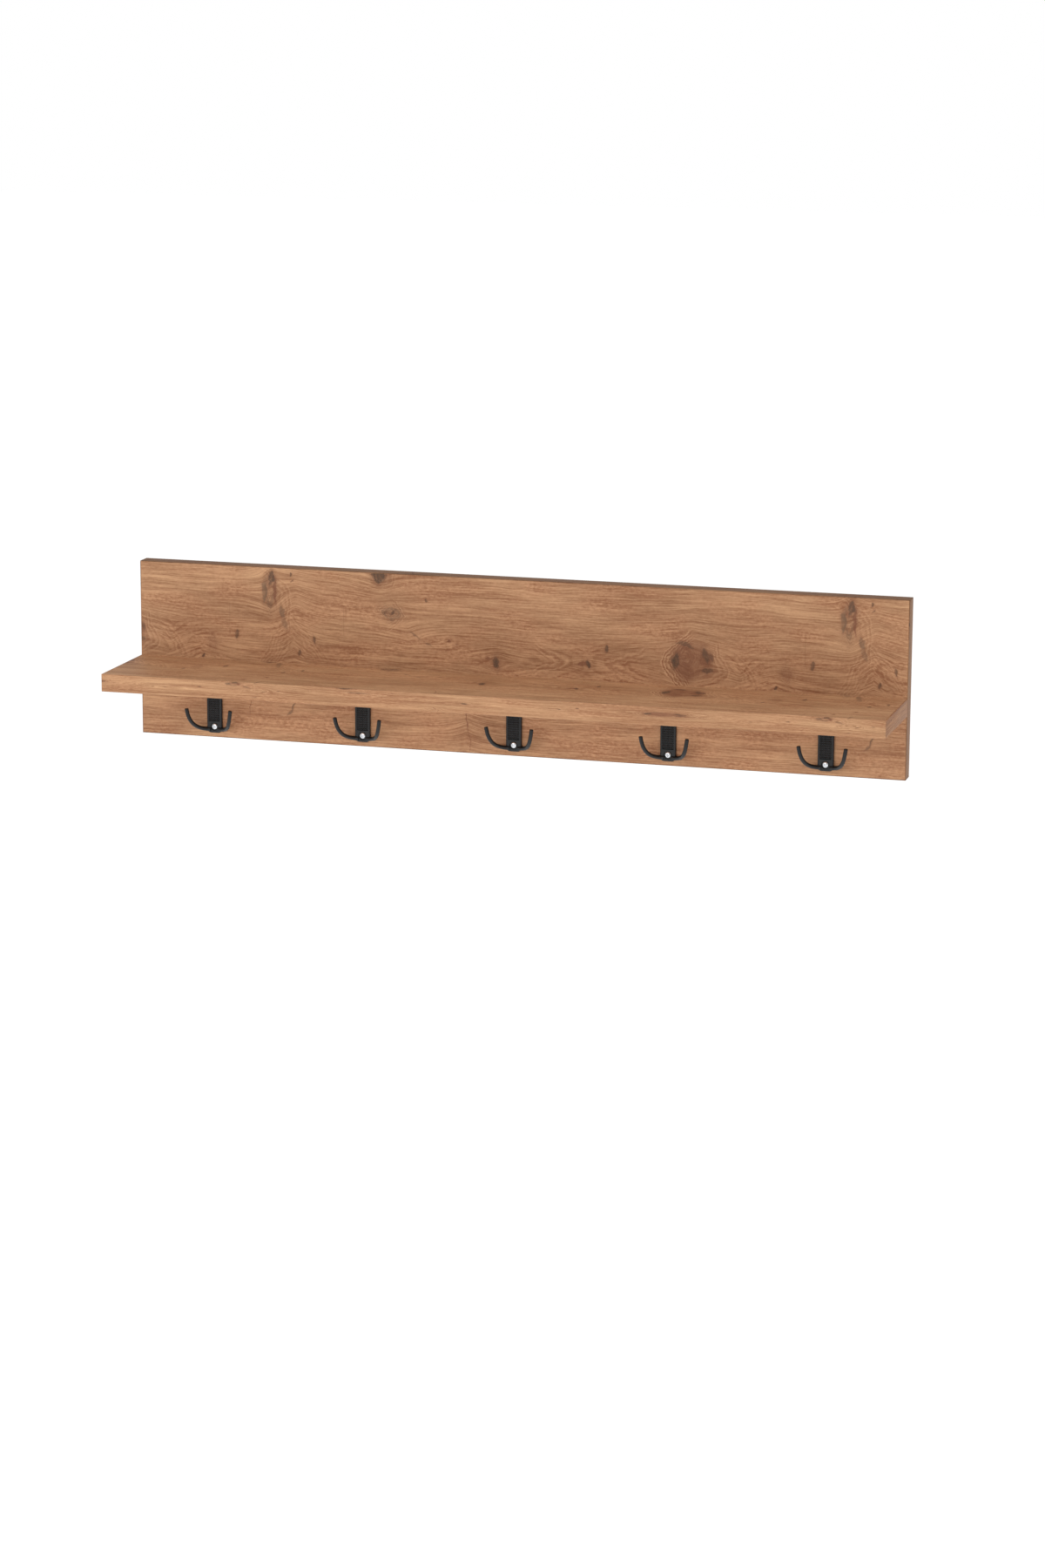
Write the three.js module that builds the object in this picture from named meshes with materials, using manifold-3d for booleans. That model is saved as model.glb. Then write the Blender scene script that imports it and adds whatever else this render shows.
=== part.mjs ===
// Wall hook rack: a back board, a narrow shelf on its face and a row of double coat hooks.
// Millimetres. +X runs along the rack, -Y points out from the wall and +Z is up.
// The origin is the centre of the back board's wall face.

import * as THREE from 'three';
import { mergeVertices } from 'three/addons/utils/BufferGeometryUtils.js';
import Module from 'manifold-3d';

const wasm = await Module();
wasm.setup();

// ---------------------------------------------------------------- driving dimensions

// Boards, overall sizes with their edge bands on.
const boardLength = 800;
const boardHeight = 180;
const boardThickness = 18;
const shelfDepth = 112;
const shelfThickness = 18;
const bandThickness = 0.8;

// Row of hooks, between the back board's lower edge and the shelf.
const hookCount = 5;
const hookBottomMargin = 5;
const hookTopGap = 4;

// Hook casting: a strap-shaped plate with a round arm on each side.
const plateWidth = 16;
const plateHeight = 55;
const plateThickness = 3;
const plateCornerRadius = 3;
const plateBevel = 0.8;
const panelRim = 2;
const panelDepth = 0.4;
const panelEndGap = 1.2;
const armRadius = 2;
const armSpread = 23.8;
const armReach = 20.5;
const armRise = 27.6;
const armRootInset = 4;
const armRootHeight = 3.4;
const armRootOut = 2.4;

// Pan-head wood screws that hold each hook.
const lowerScrewInset = 6.6;
const upperScrewInset = 8;
const panHeadRadius = 3.1;
const panHeadHeight = 1.8;
const panShankRadius = 1.75;
const panShankLength = 15;
const counterboreRadius = 4.2;
const counterboreDepth = 1.2;

// Connecting screws, from the back board's wall face into the shelf's rear edge.
const shelfScrewCount = 4;
const shelfScrewEndInset = 60;
const shelfScrewHeadRadius = 5;
const shelfScrewHeadHeight = 3;
const shelfScrewCollarRadius = 3.5;
const shelfScrewCollarEndGap = 0.7;
const shelfScrewCoreRadius = 2.5;
const shelfScrewLength = 50;
const shelfScrewSocketRadius = 2.3;

// Dowels that line the shelf up, one between each two connecting screws.
const dowelRadius = 4;
const dowelLength = 30;
const dowelDepthInBoard = 11;
const dowelChamfer = 1;

// Keyhole hanger plates, let in flush with the wall face.
const hangerEndInset = 100;
const hangerDrop = 35;
const hangerWidth = 18;
const hangerHeight = 50;
const hangerThickness = 1.2;
const hangerCornerRadius = 4;
const keyholeEntryRadius = 4.5;
const keyholeSlotRadius = 2.3;
const keyholeTravel = 9;
const pocketWall = 1.5;
const pocketDepth = 7;
const hangerScrewSpacing = 38;
const hangerScrewHeadRadius = 3;
const hangerScrewShankRadius = 1.5;
const hangerScrewLength = 13;

// Clearances.
const holeClearance = 0.15;
const tipClearance = 1;
const recessClearance = 0.3;
const sunkHeadDepth = 0.3;

// Facets around round parts.
const holeSides = 16;
const screwSides = 12;
const armHalfSides = 5;
const armSteps = 12;
const cornerHalfSides = 2;

// ---------------------------------------------------------------- places worked out from them

const boardTop = boardHeight / 2;
const boardBottom = -boardHeight / 2;
const frontFace = -boardThickness;
const plateBottom = boardBottom + hookBottomMargin;
const shelfBottom = plateBottom + plateHeight + hookTopGap;
const shelfMiddle = shelfBottom + shelfThickness / 2;
const shelfFront = frontFace - shelfDepth;
const shelfScrewCollarEnd = sunkHeadDepth + shelfScrewCollarEndGap - boardThickness;
const hookPitch = boardLength / hookCount;
const hookPlaces = spread(hookCount, boardLength / 2 - hookPitch / 2);
const shelfScrewPlaces = spread(shelfScrewCount, boardLength / 2 - shelfScrewEndInset);
const dowelPlaces = shelfScrewPlaces.slice(1).map((x, i) => (x + shelfScrewPlaces[i]) / 2);
const hangerPlaces = { left: hangerEndInset - boardLength / 2, right: boardLength / 2 - hangerEndInset };
const hangerMiddle = boardTop - hangerDrop;

// ---------------------------------------------------------------- materials

const boardDecor = { color: 0xae8060, roughness: 0.6, metalness: 0 };
const blackCasting = { color: 0x17191b, roughness: 0.45, metalness: 0.2 };
const zincScrew = { color: 0xd4d6d8, roughness: 0.3, metalness: 0.9 };
const steelPlate = { color: 0xa7a9ac, roughness: 0.35, metalness: 0.9 };
const beechDowel = { color: 0xd9b98c, roughness: 0.7, metalness: 0 };

// ---------------------------------------------------------------- geometry helpers

// Evenly spaced places from -half to +half.
function spread(count, half) {
  return Array.from({ length: count }, (_, i) => -half + (2 * half * i) / (count - 1));
}

// A box given by its low and high limits along each axis.
function block([x0, x1], [y0, y1], [z0, z1]) {
  const box = new THREE.BoxGeometry(x1 - x0, y1 - y0, z1 - z0);
  return box.translate((x0 + x1) / 2, (y0 + y1) / 2, (z0 + z1) / 2);
}

// A round bar along Y from y0 to y1, for drilling.
function bar(radius, x, y0, y1, z) {
  const cylinder = new THREE.CylinderGeometry(radius, radius, y1 - y0, holeSides);
  return cylinder.translate(x, (y0 + y1) / 2, z);
}

// A turned piece about Y. The profile runs from the low Y end to the high one, axis to axis.
function turned(profile, sides = screwSides) {
  return new THREE.LatheGeometry(profile.map(([radius, y]) => new THREE.Vector2(radius, y)), sides);
}

// A rectangle with round corners, centred on x = 0 and standing on y = bottom.
function roundedRectangle(width, height, bottom, radius) {
  const half = width / 2;
  const top = bottom + height;
  const shape = new THREE.Shape();
  shape.absarc(half - radius, bottom + radius, radius, -Math.PI / 2, 0);
  shape.absarc(half - radius, top - radius, radius, 0, Math.PI / 2);
  shape.absarc(radius - half, top - radius, radius, Math.PI / 2, Math.PI);
  shape.absarc(radius - half, bottom + radius, radius, Math.PI, 1.5 * Math.PI);
  return shape;
}

// A shape drawn in the X-Z plane, made thick towards -Y from y = 0.
function plateOf(shape, options) {
  const settings = { bevelEnabled: false, curveSegments: cornerHalfSides, ...options };
  return new THREE.ExtrudeGeometry(shape, settings).rotateX(Math.PI / 2);
}

function toSolid(geometry) {
  const bare = geometry.clone();
  bare.deleteAttribute('normal');
  bare.deleteAttribute('uv');
  const merged = mergeVertices(bare);
  return new wasm.Manifold(new wasm.Mesh({
    numProp: 3,
    vertProperties: Float32Array.from(merged.attributes.position.array),
    triVerts: Uint32Array.from(merged.index.array),
  }));
}

function toGeometry(solid) {
  const mesh = solid.getMesh();
  const geometry = new THREE.BufferGeometry();
  geometry.setAttribute('position', new THREE.BufferAttribute(Float32Array.from(mesh.vertProperties), 3));
  geometry.setIndex(new THREE.BufferAttribute(Uint32Array.from(mesh.triVerts), 1));
  geometry.computeVertexNormals();
  return geometry;
}

// The first geometry with the joined ones added and the cuts taken away.
function worked(base, { joined = [], cuts = [] }) {
  let solid = toSolid(base);
  for (const piece of joined) {
    solid = solid.add(toSolid(piece));
  }
  for (const cut of cuts) {
    solid = solid.subtract(toSolid(cut));
  }
  return toGeometry(solid);
}

function named(name, geometry, finish) {
  const mesh = new THREE.Mesh(geometry, new THREE.MeshStandardMaterial(finish));
  mesh.name = name;
  return mesh;
}

// ---------------------------------------------------------------- boards and edge bands

// Holes for the hook screws, each drilled from the front face.
function hookPilotHoles() {
  const depth = panShankLength - (plateThickness - counterboreDepth) + tipClearance;
  const radius = panShankRadius + holeClearance;
  const heights = [plateBottom + lowerScrewInset, plateBottom + plateHeight - upperScrewInset];
  return hookPlaces.flatMap((x) => heights.map((z) => bar(radius, x, frontFace - 1, frontFace + depth, z)));
}

// Stepped holes for the connecting screws, countersunk at the wall face.
function shelfScrewHoles() {
  const radius = shelfScrewCollarRadius + holeClearance;
  const mouth = shelfScrewHeadRadius + holeClearance + sunkHeadDepth;
  const sinkDepth = shelfScrewHeadHeight + sunkHeadDepth;
  const profile = [[0, frontFace - 1], [radius, frontFace - 1], [radius, -sinkDepth], [mouth, 0], [mouth, 1], [0, 1]];
  return shelfScrewPlaces.map((x) => turned(profile, holeSides).translate(x, 0, shelfMiddle));
}

function dowelHolesInBoard() {
  const deep = frontFace + dowelDepthInBoard + tipClearance;
  return dowelPlaces.map((x) => bar(dowelRadius + holeClearance, x, frontFace - 1, deep, shelfMiddle));
}

// Shallow recess for each hanger plate, its deep pocket for a screw head and two pilot holes.
function hangerRecesses() {
  const width = hangerWidth + 2 * recessClearance;
  const height = hangerHeight + 2 * recessClearance;
  const outline = roundedRectangle(width, height, -height / 2, hangerCornerRadius + recessClearance);
  const pocketHalf = keyholeEntryRadius + pocketWall;
  return Object.values(hangerPlaces).flatMap((x) => [
    plateOf(outline, { depth: hangerThickness + 1 }).translate(x, 1, hangerMiddle),
    block([x - pocketHalf, x + pocketHalf], [-hangerThickness - pocketDepth, 0],
      [hangerMiddle - keyholeTravel / 2 - pocketHalf, hangerMiddle + keyholeTravel / 2 + pocketHalf]),
    ...[-1, 1].map((side) => bar(hangerScrewShankRadius + holeClearance, x,
      -hangerScrewLength - tipClearance, 0, hangerMiddle + side * hangerScrewSpacing / 2)),
  ]);
}

function backBoard() {
  const half = boardLength / 2 - bandThickness;
  const core = block([-half, half], [frontFace, 0], [boardBottom + bandThickness, boardTop - bandThickness]);
  const cuts = [...hookPilotHoles(), ...shelfScrewHoles(), ...dowelHolesInBoard(), ...hangerRecesses()];
  return [named('back_board', worked(core, { cuts }), boardDecor)];
}

// Long bands cover the ends of the short ones.
function backBands() {
  const end = boardLength / 2;
  const depth = [frontFace, 0];
  const side = [boardBottom + bandThickness, boardTop - bandThickness];
  return [
    named('back_band_top', block([-end, end], depth, [boardTop - bandThickness, boardTop]), boardDecor),
    named('back_band_bottom', block([-end, end], depth, [boardBottom, boardBottom + bandThickness]), boardDecor),
    named('back_band_left', block([-end, bandThickness - end], depth, side), boardDecor),
    named('back_band_right', block([end - bandThickness, end], depth, side), boardDecor),
  ];
}

function shelfBoard() {
  const half = boardLength / 2 - bandThickness;
  const height = [shelfBottom, shelfBottom + shelfThickness];
  const core = block([-half, half], [shelfFront + bandThickness, frontFace], height);
  const screwEnd = -shelfScrewLength - sunkHeadDepth - tipClearance;
  const dowelEnd = frontFace + dowelDepthInBoard - dowelLength - tipClearance;
  const cuts = [
    ...shelfScrewPlaces.map((x) => bar(shelfScrewCoreRadius + holeClearance, x, screwEnd, frontFace + 1, shelfMiddle)),
    ...dowelPlaces.map((x) => bar(dowelRadius + holeClearance, x, dowelEnd, frontFace + 1, shelfMiddle)),
  ];
  return [named('shelf_board', worked(core, { cuts }), boardDecor)];
}

function shelfBands() {
  const end = boardLength / 2;
  const height = [shelfBottom, shelfBottom + shelfThickness];
  const side = [shelfFront + bandThickness, frontFace];
  return [
    named('shelf_band_front', block([-end, end], [shelfFront, shelfFront + bandThickness], height), boardDecor),
    named('shelf_band_left', block([-end, bandThickness - end], side, height), boardDecor),
    named('shelf_band_right', block([end - bandThickness, end], side, height), boardDecor),
  ];
}

// ---------------------------------------------------------------- hooks

// One arm of a hook: a round bar that leaves the plate sideways, swings out and ends upright.
// side is 1 for the right arm and -1 for the left.
function hookArm(side) {
  const point = (x, out, z) => new THREE.Vector3(side * x, -out, z);
  const path = new THREE.CubicBezierCurve3(
    point(plateWidth / 2 - armRootInset, armRootOut, armRootHeight),
    point(plateWidth / 2 + 1.65 * armRootInset, armRootOut / 2, armRootHeight + 0.2 * armRadius),
    point(armSpread - 1.45 * armRadius, armReach - 0.25 * armRadius, armRootHeight + 1.4 * armRadius),
    point(armSpread, armReach, armRise),
  );
  const section = new THREE.Shape().absarc(0, 0, armRadius, 0, 2 * Math.PI);
  return new THREE.ExtrudeGeometry(section, { steps: armSteps, curveSegments: armHalfSides, extrudePath: path });
}

// The casting stands with its back on y = 0 and its lower end on z = 0.
function hookCasting() {
  const outline = roundedRectangle(plateWidth, plateHeight, 0, plateCornerRadius);
  const plate = plateOf(outline, {
    depth: plateThickness - plateBevel,
    bevelEnabled: true,
    bevelSegments: 1,
    bevelThickness: plateBevel,
    bevelSize: plateBevel,
    bevelOffset: -plateBevel,
  });
  const screwHeights = [lowerScrewInset, plateHeight - upperScrewInset];
  const panelHalf = plateWidth / 2 - panelRim;
  const panelEnds = [
    screwHeights[0] + counterboreRadius + panelEndGap,
    screwHeights[1] - counterboreRadius - panelEndGap,
  ];
  const reach = armSpread + 2 * armRadius;
  const behind = block([-reach, reach], [0, 2 * armRadius], [-armRadius, plateHeight + armRadius]);
  const cuts = [
    behind,
    block([-panelHalf, panelHalf], [-plateThickness - 1, panelDepth - plateThickness], panelEnds),
    ...screwHeights.map((z) => bar(panShankRadius + holeClearance, 0, -plateThickness - 1, 1, z)),
    ...screwHeights.map((z) =>
      bar(counterboreRadius, 0, -plateThickness - 2 * armRadius, counterboreDepth - plateThickness, z)),
  ];
  return worked(plate, { joined: [hookArm(1), hookArm(-1)], cuts });
}

// Pan-head screw, pointing along +Y, with its head standing out from y = 0 and a cross recess.
function panHeadScrew() {
  const blank = turned([
    [0, -panHeadHeight],
    [0.55 * panHeadRadius, -0.94 * panHeadHeight],
    [0.9 * panHeadRadius, -0.65 * panHeadHeight],
    [panHeadRadius, -0.25 * panHeadHeight],
    [panHeadRadius, 0],
    [panShankRadius, 0],
    [panShankRadius, panShankLength - 2 * panShankRadius],
    [0, panShankLength],
  ]);
  const long = 0.4 * panHeadRadius;
  const short = 0.12 * panHeadRadius;
  const deep = [-panHeadHeight - 1, -0.4 * panHeadHeight];
  const cuts = [block([-long, long], deep, [-short, short]), block([-short, short], deep, [-long, long])];
  return worked(blank, { cuts });
}

function hooks() {
  const casting = hookCasting();
  const screw = panHeadScrew();
  const seat = counterboreDepth - plateThickness;
  return hookPlaces.map((x, i) => {
    const hook = new THREE.Group();
    hook.position.set(x, frontFace, plateBottom);
    const lower = named(`hook_screw_lower_${i + 1}`, screw, zincScrew);
    const upper = named(`hook_screw_upper_${i + 1}`, screw, zincScrew);
    lower.position.set(0, seat, lowerScrewInset);
    upper.position.set(0, seat, plateHeight - upperScrewInset);
    hook.add(named(`hook_${i + 1}`, casting, blackCasting), lower, upper);
    return hook;
  });
}

// ---------------------------------------------------------------- shelf fixings

// Connecting screw, pointing along -Y, with its flat countersunk head at y = 0 and a hexagon socket.
function shelfScrew() {
  const blank = turned([
    [0, -shelfScrewLength],
    [0.5 * shelfScrewCoreRadius, -shelfScrewLength],
    [shelfScrewCoreRadius, -shelfScrewLength + 2 * shelfScrewCoreRadius],
    [shelfScrewCoreRadius, shelfScrewCollarEnd],
    [shelfScrewCollarRadius, shelfScrewCollarEnd],
    [shelfScrewCollarRadius, -shelfScrewHeadHeight],
    [shelfScrewHeadRadius, 0],
    [0, 0],
  ]);
  const socket = new THREE.CylinderGeometry(shelfScrewSocketRadius, shelfScrewSocketRadius,
    2 * shelfScrewHeadHeight, 6);
  return worked(blank, { cuts: [socket] });
}

function dowel() {
  const half = dowelLength / 2;
  return turned([
    [0, -half],
    [dowelRadius - dowelChamfer, -half],
    [dowelRadius, dowelChamfer - half],
    [dowelRadius, half - dowelChamfer],
    [dowelRadius - dowelChamfer, half],
    [0, half],
  ]);
}

function shelfFixings() {
  const screw = shelfScrew();
  const peg = dowel();
  const screws = shelfScrewPlaces.map((x, i) => {
    const mesh = named(`shelf_screw_${i + 1}`, screw, zincScrew);
    mesh.position.set(x, -sunkHeadDepth, shelfMiddle);
    return mesh;
  });
  const dowels = dowelPlaces.map((x, i) => {
    const mesh = named(`shelf_dowel_${i + 1}`, peg, beechDowel);
    mesh.position.set(x, frontFace + dowelDepthInBoard - dowelLength / 2, shelfMiddle);
    return mesh;
  });
  return [...screws, ...dowels];
}

// ---------------------------------------------------------------- wall hangers

// Keyhole plate with its outer face on y = 0: round entry below, narrow slot above.
function hangerPlate() {
  const outline = roundedRectangle(hangerWidth, hangerHeight, -hangerHeight / 2, hangerCornerRadius);
  const entry = -keyholeTravel / 2;
  const slotEnd = keyholeTravel / 2;
  const through = [-hangerThickness - 1, 1];
  const sink = turned([
    [0, -hangerThickness - 1],
    [hangerScrewShankRadius + holeClearance, -hangerThickness - 1],
    [hangerScrewShankRadius + holeClearance, -hangerThickness],
    [hangerScrewHeadRadius + holeClearance, 0],
    [hangerScrewHeadRadius + holeClearance, 1],
    [0, 1],
  ], holeSides);
  const cuts = [
    bar(keyholeEntryRadius, 0, ...through, entry),
    bar(keyholeSlotRadius, 0, ...through, slotEnd),
    block([-keyholeSlotRadius, keyholeSlotRadius], through, [entry, slotEnd]),
    ...[-1, 1].map((side) => sink.clone().translate(0, 0, side * hangerScrewSpacing / 2)),
  ];
  return worked(plateOf(outline, { depth: hangerThickness }), { cuts });
}

// Countersunk screw, pointing along -Y, with its flat head just under y = 0 and a cross recess.
function hangerScrew() {
  const headHeight = hangerThickness;
  const blank = turned([
    [0, -hangerScrewLength],
    [hangerScrewShankRadius, 2 * hangerScrewShankRadius - hangerScrewLength],
    [hangerScrewShankRadius, -headHeight],
    [hangerScrewHeadRadius - holeClearance, -holeClearance],
    [0, -holeClearance],
  ]);
  const long = 0.4 * hangerScrewHeadRadius;
  const short = 0.12 * hangerScrewHeadRadius;
  const deep = [-0.7 * headHeight, 1];
  const cuts = [block([-long, long], deep, [-short, short]), block([-short, short], deep, [-long, long])];
  return worked(blank, { cuts });
}

function hangers() {
  const plate = hangerPlate();
  const screw = hangerScrew();
  return Object.entries(hangerPlaces).map(([side, x]) => {
    const hanger = new THREE.Group();
    hanger.position.set(x, 0, hangerMiddle);
    const top = named(`hanger_screw_${side}_top`, screw, zincScrew);
    const bottom = named(`hanger_screw_${side}_bottom`, screw, zincScrew);
    top.position.z = hangerScrewSpacing / 2;
    bottom.position.z = -hangerScrewSpacing / 2;
    hanger.add(named(`hanger_plate_${side}`, plate, steelPlate), top, bottom);
    return hanger;
  });
}

// ---------------------------------------------------------------- assembly

const rack = new THREE.Group();
rack.add(...backBoard(), ...backBands(), ...shelfBoard(), ...shelfBands());
rack.add(...hooks(), ...shelfFixings(), ...hangers());

export default rack;
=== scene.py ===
"""Wall hook rack: a decor board with a narrow shelf and five black double hooks.

Metres, +X along the rack, -Y out from the wall, +Z up, origin at the middle of the wall face.
Every new piece is a surface worked out with numpy from the boxes of the fixed frame.
"""

import math

import bmesh
import bpy
import numpy as np
from mathutils import Matrix, Vector


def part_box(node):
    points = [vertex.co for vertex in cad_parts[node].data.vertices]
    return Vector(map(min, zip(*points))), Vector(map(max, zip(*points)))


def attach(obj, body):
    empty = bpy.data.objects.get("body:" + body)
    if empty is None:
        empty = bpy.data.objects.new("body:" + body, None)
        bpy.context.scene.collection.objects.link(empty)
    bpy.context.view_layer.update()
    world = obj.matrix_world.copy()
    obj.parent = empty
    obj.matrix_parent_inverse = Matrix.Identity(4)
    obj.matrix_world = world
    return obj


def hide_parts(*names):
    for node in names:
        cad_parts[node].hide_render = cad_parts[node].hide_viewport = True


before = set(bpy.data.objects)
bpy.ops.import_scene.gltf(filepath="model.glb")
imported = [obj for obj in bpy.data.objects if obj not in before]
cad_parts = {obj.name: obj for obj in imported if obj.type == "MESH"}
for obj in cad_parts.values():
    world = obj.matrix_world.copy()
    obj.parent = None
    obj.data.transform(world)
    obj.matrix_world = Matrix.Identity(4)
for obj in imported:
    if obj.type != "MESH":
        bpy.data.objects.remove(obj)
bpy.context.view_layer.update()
MM = 0.001
BODY = "root"


# ---------------------------------------------------------------- camera, light and stage

AMBIENT_STRENGTH = 0.5
FLOOR_REACH, FLOOR_LEVEL = 14, -0.62


def camera():
    """The viewing angle: a long lens from the right and a little above, turned back to the rack."""
    yaw, pitch, roll = (math.radians(angle) for angle in (15.83, 12.40, 0.26))
    place = (1.0977, -3.8585, 0.7593)
    data = bpy.data.cameras.new("camera")
    data.sensor_width = 36
    data.lens = 92.96
    data.clip_end = 60
    eye = bpy.data.objects.new("camera", data)
    turn = Matrix.Rotation(yaw, 4, "Z") @ Matrix.Rotation(math.pi / 2 - pitch, 4, "X")
    eye.matrix_world = Matrix.Translation(place) @ turn @ Matrix.Rotation(roll, 4, "Z")
    bpy.context.scene.collection.objects.link(eye)
    bpy.context.scene.camera = eye


def softbox(name, place, size, power):
    """A rectangular light, its power in watts, turned to the middle of the rack."""
    data = bpy.data.lights.new(name, "AREA")
    data.shape = "RECTANGLE"
    data.size, data.size_y = size
    data.energy = power
    light = bpy.data.objects.new(name, data)
    light.location = place
    light.rotation_euler = (-Vector(place)).to_track_quat("-Z", "Y").to_euler()
    bpy.context.scene.collection.objects.link(light)


def surroundings():
    """Plain white to the camera, and a dimmer white wherever they light the rack."""
    world = bpy.data.worlds.new("studio")
    world.use_nodes = True
    bpy.context.scene.world = world
    world.node_tree.nodes.clear()
    net = Net(world.node_tree)
    ambient = net.add("ShaderNodeBackground", {"Color": (1, 1, 1, 1), "Strength": AMBIENT_STRENGTH})
    white = net.add("ShaderNodeBackground", {"Color": (1, 1, 1, 1)})
    seen = net.add("ShaderNodeLightPath").outputs["Is Camera Ray"]
    shown = net.add("ShaderNodeMixShader", {0: seen, 1: ambient.outputs[0], 2: white.outputs[0]})
    net.add("ShaderNodeOutputWorld", {"Surface": shown.outputs[0]})


def pale_floor():
    """A wide level square well below the rack, bright enough to stay pale where little light falls."""
    material, _, shader = new_material("pale_floor")
    shader.inputs["Base Color"].default_value = (0.92, 0.92, 0.92, 1)
    shader.inputs["Roughness"].default_value = 0.9
    shader.inputs["Emission Color"].default_value = (1, 1, 1, 1)
    shader.inputs["Emission Strength"].default_value = 0.55
    mesh = bpy.data.meshes.new("floor")
    sides = ((-1, -1), (1, -1), (1, 1), (-1, 1))
    corners = [(x * FLOOR_REACH, y * FLOOR_REACH, FLOOR_LEVEL) for x, y in sides]
    mesh.from_pydata(corners, [], [(0, 1, 2, 3)])
    mesh.materials.append(material)
    floor = bpy.data.objects.new("floor", mesh)
    bpy.context.scene.collection.objects.link(floor)


def studio():
    """White surroundings, a broad front light, a softer one from above and a pale floor."""
    bpy.context.scene.view_settings.view_transform = "Standard"
    surroundings()
    softbox("front_light", (-0.9, -3.2, 0.6), (2.4, 1.6), 27)
    softbox("top_light", (0.2, -1.1, 2.4), (2.6, 1.4), 30)
    pale_floor()


# ---------------------------------------------------------------- wiring shader nodes

class Net:
    """A node tree being wired. Most methods add one node and give back its output."""

    def __init__(self, tree):
        self.tree = tree

    def add(self, kind, inputs=None, **settings):
        """The new node itself. Each input is given as a value or as the output that feeds it."""
        node = self.tree.nodes.new(kind)
        for name, value in settings.items():
            setattr(node, name, value)
        for key, value in (inputs or {}).items():
            if isinstance(value, bpy.types.NodeSocket):
                self.tree.links.new(value, node.inputs[key])
            else:
                node.inputs[key].default_value = value
        return node

    def math(self, operation, *values):
        return self.add("ShaderNodeMath", dict(enumerate(values)), operation=operation).outputs[0]

    def vector(self, operation, *values):
        return self.add("ShaderNodeVectorMath", dict(enumerate(values)), operation=operation).outputs[0]

    def dot(self, first, second):
        node = self.add("ShaderNodeVectorMath", {0: first, 1: second}, operation="DOT_PRODUCT")
        return node.outputs["Value"]

    def split(self, vector):
        """A vector's three parts, by dot products: they need no hidden conversion to a colour."""
        return [self.dot(vector, axis) for axis in ((1, 0, 0), (0, 1, 0), (0, 0, 1))]

    def join(self, x=0.0, y=0.0, z=0.0):
        return self.add("ShaderNodeCombineXYZ", {0: x, 1: y, 2: z}).outputs[0]

    def noise(self, vector, scale, detail=3.0, rough=0.55):
        inputs = {"Vector": vector, "Scale": scale, "Detail": detail, "Roughness": rough}
        return self.add("ShaderNodeTexNoise", inputs).outputs["Fac"]

    def ramp(self, value, low, high, to_low=0.0, to_high=1.0):
        """A smooth step from to_low at low to to_high at high."""
        return self.add("ShaderNodeMapRange", {0: value, 1: low, 2: high, 3: to_low, 4: to_high},
                        interpolation_type="SMOOTHSTEP", clamp=False).outputs[0]

    def mix(self, factor, first, second):
        """The first colour where the factor is 0 and the second where it is 1."""
        return self.add("ShaderNodeMix", {0: factor, 6: first, 7: second}, data_type="RGBA").outputs[2]

    def bump(self, height, strength, distance):
        inputs = {"Strength": strength, "Distance": distance, "Height": height}
        return self.add("ShaderNodeBump", inputs).outputs["Normal"]

    def group(self, tree, **inputs):
        """A node group and what it puts out. An underscore stands for the space in an input's name."""
        named = {key.replace("_", " "): value for key, value in inputs.items()}
        return self.add("ShaderNodeGroup", named, node_tree=tree).outputs


def new_group(name, inputs, outputs):
    """An empty node group: its tree, its net, its inputs and its outputs.

    The inputs and outputs are named by (name, kind) pairs, the kind being Float, Vector or Color.
    """
    tree = bpy.data.node_groups.new(name, "ShaderNodeTree")
    for direction, sockets in (("INPUT", inputs), ("OUTPUT", outputs)):
        for socket, kind in sockets:
            tree.interface.new_socket(name=socket, in_out=direction, socket_type=f"NodeSocket{kind}")
    entry = tree.nodes.new("NodeGroupInput").outputs
    leave = tree.nodes.new("NodeGroupOutput").inputs
    return tree, Net(tree), entry, leave


def new_material(name):
    """A material with its net and its shader."""
    material = bpy.data.materials.new(name)
    material.use_nodes = True
    tree = material.node_tree
    return material, Net(tree), tree.nodes["Principled BSDF"]


def rgba(red, green, blue):
    """A colour given as it looks on a screen, 0 to 255, made linear."""
    return tuple(((c / 255 + 0.055) / 1.055) ** 2.4 for c in (red, green, blue)) + (1.0,)


# ---------------------------------------------------------------- decor: shared effects

# Growth rings of the printed figure, in metres.
RING_SPACING, RING_CORE = 0.0044, 0.009

# What the outlines of the printed marks are raised to.
BEND_POWER, KNOT_POWER, ARC_POWER = 1.3, 1.5, 1.12


def from_centre(net, entry):
    """How far a mark's centre is, turned with the mark, in units of its half size."""
    inputs = {"Vector": entry["Place"], "Center": entry["Centre"], "Angle": entry["Turn"]}
    place = net.add("ShaderNodeVectorRotate", inputs, rotation_type="Z_AXIS").outputs[0]
    offset = net.vector("SUBTRACT", place, entry["Centre"])
    return net.split(net.vector("DIVIDE", offset, entry["Half Size"]))


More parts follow.
